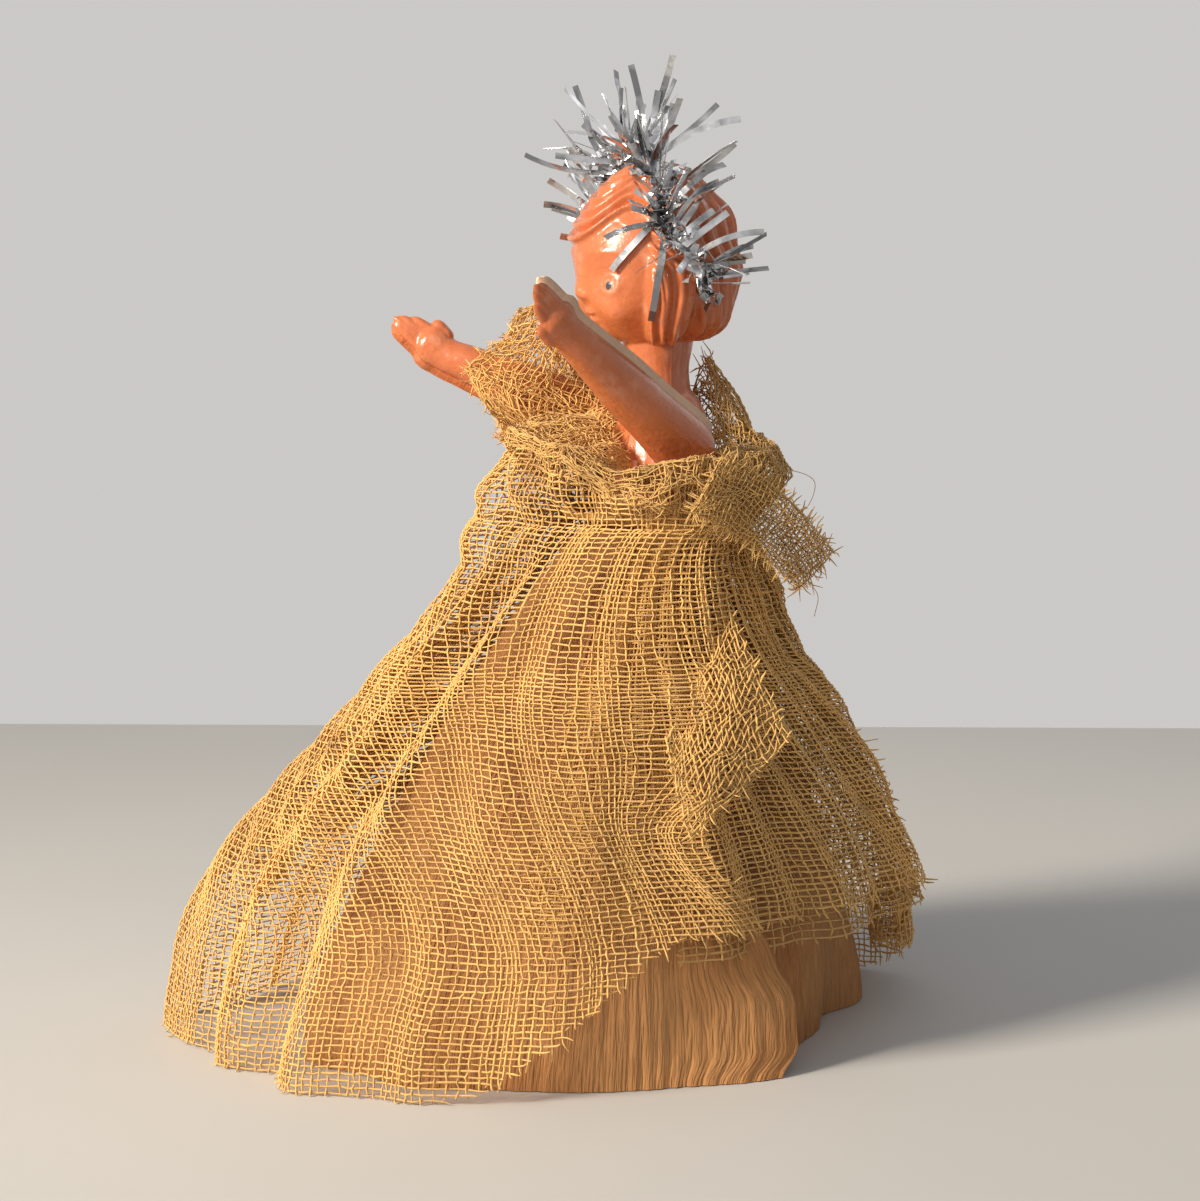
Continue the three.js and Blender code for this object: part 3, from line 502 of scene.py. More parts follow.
def mottle_group():
    """Soft blotches over a surface: a mask from noise between two levels."""
    found = bpy.data.node_groups.get("Mottle")
    if found:
        return found
    inputs = (("Scale", 100.0), ("Detail", 3.0), ("Low", 0.4), ("High", 0.6))
    group, given, result = socket_group("Mottle", inputs, ("Mask",))
    place = group.nodes.new("ShaderNodeTexCoord")
    noise = group.nodes.new("ShaderNodeTexNoise")
    levels = group.nodes.new("ShaderNodeMapRange")
    group.links.new(place.outputs["Object"], noise.inputs["Vector"])
    group.links.new(given.outputs["Scale"], noise.inputs["Scale"])
    group.links.new(given.outputs["Detail"], noise.inputs["Detail"])
    group.links.new(noise.outputs["Fac"], levels.inputs["Value"])
    group.links.new(given.outputs["Low"], levels.inputs["From Min"])
    group.links.new(given.outputs["High"], levels.inputs["From Max"])
    group.links.new(levels.outputs["Result"], result.inputs["Mask"])
    return group


class Finish:
    """A material under construction, with short ways to add its nodes."""

    def __init__(self, name):
        self.material = bpy.data.materials.new(name)
        self.material.use_nodes = True
        self.nodes = self.material.node_tree.nodes
        self.links = self.material.node_tree.links
        self.shader = self.nodes["Principled BSDF"]

    def node(self, kind, **values):
        made = self.nodes.new(kind)
        for key, value in values.items():
            setattr(made, key, value)
        return made

    def join(self, source, target):
        self.links.new(source, target)

    def set(self, **values):
        for label, value in values.items():
            socket = self.shader.inputs[label.replace("_", " ").title()]
            socket.default_value = value

    def mottle(self, scale, low, high, detail=3.0):
        made = self.node("ShaderNodeGroup", node_tree=mottle_group())
        for label, value in (("Scale", scale), ("Detail", detail), ("Low", low), ("High", high)):
            made.inputs[label].default_value = value
        return made.outputs["Mask"]

    def blend(self, mask, first, second):
        """Two colours, each a value or a socket, mixed by a mask."""
        made = self.node("ShaderNodeMix", data_type="RGBA")
        self.join(mask, made.inputs["Factor"])
        for label, colour in (("A", first), ("B", second)):
            socket = next(s for s in made.inputs if s.name == label and s.type == "RGBA")
            if isinstance(colour, bpy.types.NodeSocket):
                self.join(colour, socket)
            else:
                socket.default_value = colour
        return next(s for s in made.outputs if s.type == "RGBA")

    def range(self, mask, low, high):
        made = self.node("ShaderNodeMapRange")
        self.join(mask, made.inputs["Value"])
        made.inputs["To Min"].default_value = low
        made.inputs["To Max"].default_value = high
        return made.outputs["Result"]

    def bump(self, height, distance, strength, below=None):
        made = self.node("ShaderNodeBump")
        made.inputs["Strength"].default_value = strength
        made.inputs["Distance"].default_value = distance
        self.join(height, made.inputs["Height"])
        if below:
            self.join(below, made.inputs["Normal"])
        return made.outputs["Normal"]

    def colour(self, socket):
        self.join(socket, self.shader.inputs["Base Color"])

    def rough(self, socket):
        self.join(socket, self.shader.inputs["Roughness"])

    def relief(self, socket):
        self.join(socket, self.shader.inputs["Normal"])


def shade(colour, share):
    return (*(min(1, part * share) for part in colour[:3]), 1)


def plastic_finish(settings, name, share, eyes=(), painted_light=0.0):
    """Glossy moulded plastic, dimpled by its mould, with pupils painted on."""
    finish = Finish(name)
    # Painted light: the plastic is drawn by this share toward a paler colour, for a half that stands
    # in the light
    base = shade([mix(part, pale, painted_light) for part, pale in zip(settings.plastic, PAINTED_LIGHT_PLASTIC)], share)
    blotch = finish.mottle(55, 0.3, 0.75)
    tone = finish.blend(blotch, shade(base, 0.86), shade(base, 1.14))
    rub = finish.mottle(260, 0.56, 0.72)
    tone = finish.blend(finish.range(rub, 0, 0.3), tone, shade(RUBBED, share))
    if len(eyes):
        place = finish.node("ShaderNodeTexCoord")
        for eye in eyes:
            offset = finish.node("ShaderNodeVectorMath", operation="SUBTRACT")
            offset.inputs[1].default_value = Vector(eye) * MM
            scaled = finish.node("ShaderNodeVectorMath", operation="DIVIDE")
            scaled.inputs[1].default_value = Vector(PUPIL_HALF) * MM
            length = finish.node("ShaderNodeVectorMath", operation="LENGTH")
            finish.join(place.outputs["Object"], offset.inputs[0])
            finish.join(offset.outputs["Vector"], scaled.inputs[0])
            finish.join(scaled.outputs["Vector"], length.inputs[0])
            dot = finish.node("ShaderNodeMapRange")
            dot.inputs["From Min"].default_value = 1.08
            dot.inputs["From Max"].default_value = 0.92
            finish.join(length.outputs["Value"], dot.inputs["Value"])
            tone = finish.blend(dot.outputs["Result"], tone, shade(settings.eye_paint, 1))
    finish.colour(tone)
    finish.rough(finish.range(finish.mottle(180, 0.3, 0.7), 0.2, 0.38))
    dimples = finish.bump(finish.mottle(900, 0.35, 0.7, 2), 0.1 * MM, 0.45)
    finish.relief(finish.bump(finish.mottle(240, 0.2, 0.8, 2), 0.25 * MM, 0.5, dimples))
    finish.set(subsurface_weight=0.12, subsurface_scale=0.0025, coat_weight=0.25, coat_roughness=0.18)
    finish.shader.inputs["Subsurface Radius"].default_value = (1.0, 0.45, 0.25)
    return finish.material


def gauze_finish(settings, name, share):
    """Stiff cotton thread, unevenly dyed and browned by age; a share below one darkens it as painted
    shade.
    """
    finish = Finish(name)
    base = shade(settings.gauze, share)
    tone = finish.blend(finish.mottle(32, 0.3, 0.7), shade(base, 0.84), shade(base, 1.12))
    tone = finish.blend(finish.range(finish.mottle(900, 0.5, 0.8), 0, 0.55), tone, shade(base, 1.35))
    stain = finish.range(finish.mottle(70, 0.62, 0.78), 0, 0.6)
    finish.colour(finish.blend(stain, tone, shade(STAINED, 1)))
    finish.rough(finish.range(finish.mottle(1400, 0.3, 0.7), 0.62, 0.9))
    finish.relief(finish.bump(finish.mottle(5200, 0.3, 0.7, 2), 0.06 * MM, 0.6))
    finish.set(sheen_weight=0.2, sheen_roughness=0.5)
    return finish.material


def crepe_finish(settings):
    """Crepe paper: fine crinkles that run up and down, with painted shade in their hollows and painted
    light on their tops, and faded in patches.
    """
    finish = Finish("crepe_paper")
    place = finish.node("ShaderNodeTexCoord")
    spread = finish.node("ShaderNodeMapping")
    spread.inputs["Scale"].default_value = (800, 18, 1)
    finish.join(place.outputs["UV"], spread.inputs["Vector"])
    crinkle = finish.node("ShaderNodeTexNoise")
    crinkle.inputs["Scale"].default_value = 1
    crinkle.inputs["Detail"].default_value = 2
    finish.join(spread.outputs["Vector"], crinkle.inputs["Vector"])
    levels = finish.node("ShaderNodeMapRange")
    levels.inputs["From Min"].default_value = 0.3
    levels.inputs["From Max"].default_value = 0.7
    finish.join(crinkle.outputs["Fac"], levels.inputs["Value"])
    height = levels.outputs["Result"]
    base = shade(settings.crepe, 1)
    # Painted shade and light: the crinkles' hollows darker and their tops paler
    tone = finish.blend(height, shade(base, 0.74), shade(base, 1.2))
    fade = finish.range(finish.mottle(26, 0.35, 0.75), 0, 0.5)
    finish.colour(finish.blend(fade, tone, shade(BLEACHED, 1)))
    finish.rough(finish.range(height, 0.95, 0.75))
    finish.relief(finish.bump(height, 0.3 * MM, 1.0))
    return finish.material


def foil_finish(settings):
    """Bright foil, creased along its strips, with darker and brighter patches painted in as its varied
    reflections.
    """
    finish = Finish("tinsel_foil")
    base = shade(settings.foil, 1)
    # Painted reflections: patches of the foil darker and brighter in colour
    tone = finish.blend(finish.mottle(160, 0.4, 0.62), shade(base, 0.42), shade(base, 1.1))
    finish.colour(tone)
    finish.rough(finish.range(finish.mottle(420, 0.3, 0.7), 0.12, 0.3))
    finish.relief(finish.bump(finish.mottle(260, 0.25, 0.75, 1), 0.2 * MM, 0.3))
    finish.set(metallic=1.0)
    return finish.material


def cord_finish(name, colour, metallic):
    """Twisted thread, covered elastic or drawn wire."""
    finish = Finish(name)
    base = colour_of(*colour)
    finish.colour(finish.blend(finish.mottle(600, 0.35, 0.65), shade(base, 0.75), shade(base, 1.15)))
    finish.rough(finish.range(finish.mottle(1500, 0.3, 0.7), 0.45, 0.8))
    finish.relief(finish.bump(finish.mottle(3000, 0.3, 0.7, 2), 0.05 * MM, 0.5))
    finish.set(metallic=metallic)
    return finish.material


# Head


EYE = (34.0, -15.0)
PUPIL_HALF = (0.62, 0.9, 0.8)
PUPIL_SHIFT = np.array((0, -0.25, -0.1))
FACE_FEATURES = (
    # degrees from the middle of the face, degrees up, spread each way, height
    (0, 16, 40, 16, 0.3),
    (29, 7, 15, 4.5, 0.45),
    (31, -9, 14, 7, -0.6),
    (0, -6, 4.5, 12, 0.3),
    (0, -20, 5.5, 6, 1.2),
    (6.5, -22.5, 3.5, 3, 0.6),
    (38, -33, 16, 13, 1.2),
    (4, -35, 5, 2.2, 0.6),
    (0, -41, 6, 2.6, 0.65),
    (0, -38, 8, 1.0, -0.55),
    (0, -54, 10, 8, 0.9),
)


def hairline(turn):
    """Degrees up to the hair above the face, which sweeps from one side."""
    return 12 + 26 * bell(turn, 50, 28) + 15 * bell(turn, -56, 22)


def head_radius(way):
    """The doll's head outward along unit ways: face, fringe, side locks and bob."""
    x, y, z = way.T
    plain = 1 / np.linalg.norm(way / HEAD_HALF, axis=1)
    turn = np.degrees(np.arctan2(x, -y))
    up = np.degrees(np.arcsin(np.clip(z, -1, 1)))
    side = np.abs(turn)
    radius = plain.copy()
    for middle, height_up, spread, spread_up, height in FACE_FEATURES:
        radius += height * bell(side, middle, spread) * bell(up, height_up, spread_up)
    lid = np.hypot((side - EYE[0]) / 9.5, (up - EYE[1]) / 7)
    radius += 0.26 * bell(lid, 0.85, 0.3) + 0.34 * bell(lid, 0, 0.6)
    radius -= 1.2 * bell(up, -84, 22)
    above = up - hairline(turn)
    face = smooth(-above, -1.2, 2) * smooth(66 - side, -3, 3)
    hair = (1 - face) * smooth(up, -66, -57)
    radius += hair * mix(0.45, 1.2, smooth(up, 45, 80))
    fringe = hair * smooth(100 - side, 0, 20) * smooth(up, -8, 10)
    waves = np.cos(math.radians(360) * (above - 2) / 9.5 + 0.03 * turn)
    radius += fringe * 0.95 * waves * np.exp(-np.maximum(above, 0) / 45)
    round_turn = np.radians(turn)
    lean = 1.9 * np.sin(np.radians(up * 1.4 + 25)) * np.sign(turn)
    strands = 0.62 * np.cos(22 * round_turn + 4 * lean) + 0.4 * np.cos(43 * round_turn + 7 * lean)
    bob = hair * smooth(side, 92, 106) * np.cos(np.radians(up)) ** 0.7
    radius += bob * strands
    radius += bob * 0.4 * np.sin(np.radians(up * 9 + turn))
    radius += 1.3 * bell(side, 128, 34) * bell(up, -34, 17)
    lock = smooth(15 - np.abs(side - 82 - 0.1 * up), -5, 4)
    lock = lock * smooth(up, -70, -48) * (1 - smooth(up, -10, 14))
    ridges = np.cos(math.radians(360) * (side - 82 + 0.1 * up + 2 * np.sin(np.radians(6 * up))) / 9.5)
    radius += lock * (1.9 + 0.6 * ridges)
    radius -= 0.9 * bell(side, 102, 3.2) * smooth(up, -64, -50) * smooth(-up, -2, 10)
    return radius


def head_point(way, proud):
    """Places on the head along unit ways, or some millimetres proud of it."""
    place = way * (head_radius(way) + proud)[:, None]
    place[:, 2] += HEAD_Z
    return place


def unit_way(turn, up):
    """Directions from degrees round from the face to the left, and degrees up."""
    turn, up = np.radians(turn), np.radians(up)
    return np.stack((np.sin(turn) * np.cos(up), -np.cos(turn) * np.cos(up), np.sin(up)), axis=-1)


def add_head(bm):
    made = bmesh.ops.create_icosphere(bm, subdivisions=7, radius=1)
    ways = unit_rows(np.array([vert.co for vert in made["verts"]]))
    for vert, place in zip(made["verts"], head_point(ways, 0)):
        vert.co = Vector(place * MM)
        vert.tag = True


# Body and arms


# Radius and height up the body and its legs
TORSO = (
    (0, 49.8), (9.75, 51.8), (13, 61.1), (10.2, 74.5), (CHEST_HALF_WIDTH, TIE_Z), (9.6, SHOULDER_Z),
    (6.6, SHOULDER_Z + 6), (6.0, CHIN_Z - 3), (6.4, CHIN_Z + 4), (0, CHIN_Z + 9))
NECK = ((0, 103), (6.4, 105), (5.5, 112), (5.2, 116), (5.6, 122), (0, 125))
LEG = ((0, 2.5), (3.4, 3.4), (3.4, 8.4), (4.7, 19.1), (4.5, 29), (6.2, 49.3), (6.2, HIP_Z), (0, 61))
SHOULDERS_HALF = (8.6, 7.6, 10)
FOOT_HALF = (4.7, 8.8, 4.6)

# Radius and distance along an arm and a thumb
LIMB = (
    (0, -5.4), (4.3, -3.2), (5.4, 0), (4.75, 10), (4.4, 19.2), (3.7, 27), (3.05, WRIST),
    (3.5, WRIST + 3), (2.9, WRIST + 5), (0, WRIST + 7))
THUMB = ((0, 0), (1.1, 1.0), (1.15, 3.2), (0.95, 4.6), (0, 5.6))
FINGER_RADIUS = 0.95
FINGERS = (
    # length and droop in radians
    (9.6, 0.10), (11.2, 0.05), (12.0, -0.01), (11.4, -0.07))


class FAIRY_OT_body(Operator):
    """Moulds the head, torso and legs, parted into a front and a back half"""

    bl_idname = "fairy.body"
    bl_label = "Doll body"

    def execute(self, context):
        settings = context.scene.fairy_doll
        bm = bmesh.new()
        add_head(bm)
        grow = Matrix.Scale(MM, 4)
        flat = Matrix.Diagonal((1, BODY_DEPTH_SHARE, 1, 1))
        turn_form(bm, TORSO, 90, grow @ flat)
        round_form(bm, SHOULDERS_HALF, grow @ Matrix.Translation((0, 2.0, SHOULDER_Z + 1)))
        turn_form(bm, NECK, 40, grow @ Matrix.Translation((0, 0.9, 0)))
        for side in (1, -1):
            turn_form(bm, LEG, 60, grow @ Matrix.Translation((side * LEG_OFFSET, 0, 0)))
            round_form(bm, FOOT_HALF, grow @ Matrix.Translation((side * LEG_OFFSET, -2, 0.6)))
        for vert in bm.verts:
            vert.co.z = max(vert.co.z, 0.1 * MM)
        whole = moulded(bm, "doll_body", settings.voxel, 2)
        eye_way = unit_way(np.array((EYE[0], -EYE[0])), np.array((EYE[1], EYE[1])))
        eyes = head_point(eye_way, 0.1) + PUPIL_SHIFT
        material = plastic_finish(settings, "doll_plastic", 1.0, eyes)
        halves = (("doll_front", -1, "body_front_half"), ("doll_back", 1, "body_back_half"))
        for name, way, node in halves:
            place = (0, (PARTING_Y + way * 0.03) * MM, 0)
            mesh = half_of(whole, name, place, (0, -way, 0), 0.1 * MM)
            dress(name, mesh, material, "root", (node,))
        bpy.data.meshes.remove(whole)
        return {"FINISHED"}


def hand_flat(place):
    """A limb drawn flatter from wrist to fingertips."""
    flat = float(smooth(place.z, WRIST - 4, WRIST + 4))
    return Vector((place.x * mix(1, 0.6, flat), place.y, place.z))


def arm_frame(name, scale):
    """From an arm's own frame, its pivot at the origin and its hand along -Y, to its raised place."""
    pivot = Matrix.Translation(Vector(JOINT_AT[name + "_shoulder"]))
    raised = Matrix.Rotation(-math.radians(ARM_RISE[name]), 4, "X")
    splayed = Matrix.Rotation(math.radians(ARM_SIDE[name] * ARM_SPLAY), 4, "Z")
    return Matrix.Scale(scale, 4) @ pivot @ raised @ splayed


def arm_forms(bm, thumb_up, bend):
    """An arm along -Y from its pivot, the hand bent up at the wrist by some degrees."""
    along = Matrix.Rotation(math.pi / 2, 4, "X")
    turn_form(bm, LIMB, 80, along, hand_flat)
    for index, (reach, droop) in enumerate(FINGERS):
        height = thumb_up * (2.2 - 1.45 * index)
        finger = (
            (0, 0), (FINGER_RADIUS, 0.9), (FINGER_RADIUS, reach * 0.55),
            (FINGER_RADIUS * 0.8, reach - 1.4), (0, reach))
        place = Matrix.Translation((0, -WRIST, height)) @ Matrix.Rotation(droop * thumb_up, 4, "X")
        turn_form(bm, finger, 24, place @ along)
    tilt = Matrix.Rotation(math.radians(-7) * thumb_up, 4, "X")
    place = Matrix.Translation((0, -WRIST - 0.4, thumb_up * 2.6))
    turn_form(bm, THUMB, 24, place @ tilt @ along)
    for vert in bm.verts:
        turn = math.radians(bend) * float(smooth(-vert.co.y, WRIST - 3, WRIST + 4))
        from_wrist = vert.co.y + WRIST
        if turn:
            lift = vert.co.z
            vert.co.y = -WRIST + from_wrist * math.cos(turn) + lift * math.sin(turn)
            vert.co.z = lift * math.cos(turn) - from_wrist * math.sin(turn)


class FAIRY_OT_arms(Operator):
    """Moulds both arms, each parted lengthwise into an outer and an inner half"""

    bl_idname = "fairy.arms"
    bl_label = "Doll arms"

    def execute(self, context):
        settings = context.scene.fairy_doll
        outer = plastic_finish(settings, "doll_plastic_arms", 0.98)
        # Painted light: the left arm's inner half gets a paler, brighter plastic, as if lit
        lit_half_plastic = plastic_finish(settings, "doll_plastic_painted_light", 1.1, (), 0.85)
        arms = (
            # side, which way the thumb points, bend of the hand, finish of the inner half
            ("left", -1, 6, lit_half_plastic),
            ("right", 1, 16, outer))
        for name, thumb_up, bend, inner in arms:
            body = name + "_arm"
            matrix = arm_frame(name, MM)
            bm = bmesh.new()
            arm_forms(bm, thumb_up, bend)
            bmesh.ops.transform(bm, matrix=matrix, verts=bm.verts)
            whole = moulded(bm, body, settings.voxel * 0.8, 1)
            across = (matrix.to_3x3() @ Vector((ARM_SIDE[name], 0, 0))).normalized()
            upward = (matrix.to_3x3() @ Vector((0, 0, 1))).normalized()
            seam = matrix.translation + across * ARM_SEAM * MM
            halves = (("outer", -across, outer, 0.0), ("inner", across, inner, settings.arm_step))
            for part, normal, material, step in halves:
                half = f"{body}_{part}"
                mesh = half_of(whole, half, seam, normal, 0.05 * MM)
                mesh.transform(Matrix.Translation(upward * step))
                dress(half, mesh, material, body, (half + "_half",))
            bpy.data.meshes.remove(whole)
        return {"FINISHED"}


# Skirts


def ring(angle, z, skirt, extra):
    """A skirt's place at an angle and a height: narrow at the tie, wide at the hem."""
    drop = np.clip((BAND_Z - z) / BAND_Z, 0, 1)
    spread = 1 - (1 - drop) ** skirt["flare"]
    shift = np.sqrt(drop)
    reach_x = mix(CHEST_HALF_WIDTH + skirt["inner"], skirt["hem"][0], spread) + extra
    reach_y = mix(CHEST_HALF_DEPTH + skirt["inner"], skirt["hem"][1], spread) + extra
    x = skirt["shift"][0] * shift + reach_x * np.cos(angle)
    y = skirt["shift"][1] * shift + reach_y * np.sin(angle)
    return np.stack((x, y, z + 0 * x), axis=-1)


def crepe_point(u, v):
    """The underskirt at a share of its wrap and of its drop, with its free edge curled out."""
    edge = CREPE_EDGE + eased(v, CREPE_DROPS, CREPE_TURNS) * (1 - smooth(u, 0, 0.05))
    angle = np.radians(edge - CREPE_TURN * u)
    z = mix(TIE_Z + CREPE_HEAD, 0.15, v)
    lap = CREPE_STEP * (1 - smooth(u, 0, 0.5))
    fold = CREPE_FOLD * (0.5 + 0.5 * np.cos(11 * angle))
    kick = CREPE_KICK * v * v * (1 - smooth(u, 0, 0.09))
    crinkle = 0.16 * ripple(u * 90, v * 1.2, 41, 9, 2.2) + 0.3 * ripple(u * 16, v, 42, 5, 1.6)
    tuck = CREPE_TUCK * turned_bell(np.degrees(angle), CREPE_TUCK_AT, CREPE_TUCK_SPREAD)
    tuck = tuck * v * v * smooth(u, 0, 0.12)
    bite = smooth(v, 0.02, 0.2)
    return ring(angle, z, CREPE, lap + kick - tuck - fold * v * v + crinkle * bite - 0.1)


class FAIRY_OT_crepe(Operator):
    """Wraps the crepe-paper underskirt, with its free edge on the left side"""

    bl_idname = "fairy.crepe"
    bl_label = "Crepe underskirt"

    def execute(self, context):
        bm = bmesh.new()
        bm.loops.layers.uv.verify()
        bmesh.ops.create_grid(bm, x_segments=1100, y_segments=80, size=0.5, calc_uvs=True)
        flat = np.array([vert.co for vert in bm.verts])
        u, v = flat[:, 0] + 0.5, 0.5 - flat[:, 1]
        for vert, place in zip(bm.verts, crepe_point(u, v)):
            vert.co = Vector(place * MM)
        bmesh.ops.recalc_face_normals(bm, faces=bm.faces)
        material = crepe_finish(context.scene.fairy_gown)
        mesh = mesh_of(bm, "crepe_skirt")
        piece = dress("crepe_skirt", mesh, material, "root", ("crepe_underskirt",))
        return {"FINISHED"}


GAUZE_FOLDS = (
    # degrees to a ridge, its height and its spread
    (-118, 12, 19), (-94, -2.5, 8), (-46, 1.6, 9), (-20, 2.6, 9), (6, 3.4, 9), (36, 4.5, 9),
    (64, 7.5, 10), (94, 5.5, 10), (124, 6, 10), (154, 4.5, 10), (182, 6, 10), (210, 5, 10))
GAUZE_GATHERS = (
    (-97, 2.2, 4), (-84, 3.2, 5), (-72, -3.0, 4.5), (-60, 3.2, 5), (-45, -1.4, 5), (-128, -3, 6),
    (-146, 2.5, 6))
EDGE_HEIGHTS = (0, 22, 42, 55, 75, 91)
EDGE_TURNS = (-3, -3, -15, 5, 4, 1)


def gauze_angle(u, z):
    """Degrees round the gown: the cloth is gathered before the chest, and hangs
    straight on the left side, where its free edge is crumpled."""
    hem = GAUZE_EDGE - GAUZE_TURN * u
    top = GAUZE_EDGE - GAUZE_TURN * (0.6 * u + 0.4 * (1 - np.exp(-u / 0.2)) / (1 - math.exp(-5)))
    drop = np.clip((TIE_Z - z) / TIE_Z, 0, 1)
    crumple = eased(z, EDGE_HEIGHTS, EDGE_TURNS) * bell(u, 0, 0.04)
    return mix(top, hem, smooth(drop, 0, 0.8)) + crumple


FRONT_HEIGHTS = (0, 10, 20, 30, 40, 50, 60, 70, 77, 82, 86, 88, 90.5, 93, 97, 101, 104)
FRONT_REACHES = (1.6, 2.3, 4.2, 4.6, 2.6, 1.6, 1.1, 2.6, 4.4, 7.4, 13, 15.3, 17.8, 16, 13.3, 10.1, 7.5)
SIDE_HEIGHTS = (70, 78, 84, 88, 91, 95, 100)
SIDE_REACHES = (0, 1.5, 3, 5, 7, 7.5, 8)
BACK_HEIGHTS = (62, 66, 70, 74, 78, 84, 91, 95)
BACK_REACHES = (0, -2, -0.4, 0.8, 3.6, 4, 5, 5)
EVEN_HEIGHT = 30.0
PUFF_RISE = 9.0
POINT_REACH = 3.5


def top_height(degrees):
    """The gown's upper edge, which is drawn up before the chest."""
    return FRILL_TOP + PUFF_RISE * turned_bell(degrees, -97, 40)


def swell_at(degrees, z):
    """How far the gathered gown stands out from its plain flare."""
    front = turned_bell(degrees, -105, 30)
    back = turned_bell(degrees, 90, 45)
    reach = np.interp(z, FRONT_HEIGHTS, FRONT_REACHES) * front
    reach = reach + np.interp(z, BACK_HEIGHTS, BACK_REACHES) * back
    return reach + np.interp(z, SIDE_HEIGHTS, SIDE_REACHES) * (1 - front) * (1 - back)


def hem_height(degrees):
    """The gown's lower edge, which is lifted where its ends lap on the left side."""
    left = smooth(degrees, -36, 4)
    behind = smooth(-degrees, 252, 300)
    return HEM_REST + HEM_LIFT * np.maximum(left, behind)


def folds_at(degrees, folds):
    """How far folds stand out at an angle, each given by its ridge, height and spread."""
    return sum(height * turned_bell(degrees, ridge, spread) for ridge, height, spread in folds)


def gauze_at(u, z, inset=0.0):
    """The gown's outer layer, or a place some millimetres inside it."""
    degrees = gauze_angle(u, z)
    depth = np.clip(1 - z / BAND_Z, 0, 1)
    lap = GAUZE_STEP * (1 - smooth(u, 0, 0.5))
    frill = 1.5 * smooth(z, TIE_Z + 1, FRILL_TOP)
    flat_panel = 1 - 0.75 * bell(u, 0.05, 0.11)
    pleats = 1.1 * np.sin(2 * math.pi * 34 * u + 2 * np.sin(9 * u)) * (1 - 0.65 * depth)
    pleats = pleats * smooth(depth, 0, 0.05)
    waves = 0.7 * ripple(u * 9, depth * 1.6, 51, 6, 2) * depth
    folds = folds_at(degrees, GAUZE_FOLDS) * np.minimum(1, depth / 0.83)
    folds = folds + folds_at(degrees, GAUZE_GATHERS) * smooth(depth, 0, 0.2)
    ruff = 1.3 * ripple(u * 40, z / 12, 53, 7, 1) * smooth(z, TIE_Z - 2, TIE_Z + 2)
    point = POINT_REACH * bell(z, 56, 9) * bell(u, 0, 0.035)
    extra = lap + frill + swell_at(degrees, z) + point + folds + ruff - inset
    return ring(np.radians(degrees), z, GAUZE, extra + pleats * flat_panel + waves)


def bunched(u):
    """The cloth's warp drawn together here and there."""
    waves = 2 * math.pi * 27
    return u + 0.42 * np.sin(waves * u + 4 * np.sin(2 * math.pi * 2.3 * u)) / waves


def gauze_heights():
    """Heights in equal steps along the cloth, from its top before the chest to the floor."""
    z = np.linspace(FRILL_TOP + PUFF_RISE, HEM_REST, 400)
    line = gauze_at(np.full(400, 0.12), z)
    run = np.r_[0, np.cumsum(np.linalg.norm(np.diff(line, axis=0), axis=1))]
    return z, run


STRETCHES = ("gauze_skirt_left", "gauze_skirt_front", "gauze_skirt_right", "gauze_skirt_back")
INNER_LAYERS = (
    # first and last share of the wrap, highest and lowest point
    ("gauze_inner_front", (0.19, 0.42), (95.0, 30.0)),
    ("gauze_inner_back", (0.60, 0.93), (86.0, 21.0)))
INNER_GAP = 1.7
INNER_PITCH = 1.12
FLAP_CORNERS = ((22.5, 5.2, 75), (33.5, 11.0, 56), (33.5, -11.2, 57), (40, -10, 41.5))
FLAP_RISE = 2.2


def flap_at(u, v):
    """The gown's free edge turned over on itself, so that its threads run aslant."""
    top, right, left, low = (np.array(corner, float) for corner in FLAP_CORNERS)
    across, down = u[..., None], v[..., None]
    place = mix(mix(top, right, across), mix(left, low, across), down)
    rise = FLAP_RISE * np.sin(math.pi * u) * np.sin(math.pi * v) + 0.5 * ripple(u, v, 57, 5, 1.5)
    return place + rise[..., None] * np.array((0.9, -0.4, 0.1))


def corner_at(u, v):
    """The hem's inner corner behind, rolled up on itself and hanging."""
    angle = 2 * math.pi * 1.6 * u
    radius = 4.3 - 1.7 * u + 0.3 * np.sin(9 * v + 5 * u)
    x = radius * np.cos(angle) - 3
    y = radius * np.sin(angle) + 48.5
    return np.stack((x, y, mix(20, 8.6, v)), axis=-1)


TURNED_CLOTH = {
    # surface, threads each way, seeds, wobble, spread and fray
    "gauze_skirt_left": (flap_at, (19, 23), (27, 28), 0.5, (3, 3), 1.8),
    "gauze_skirt_back": (corner_at, (34, 11), (17, 18), 0.4, (3, 2), 2.0)}


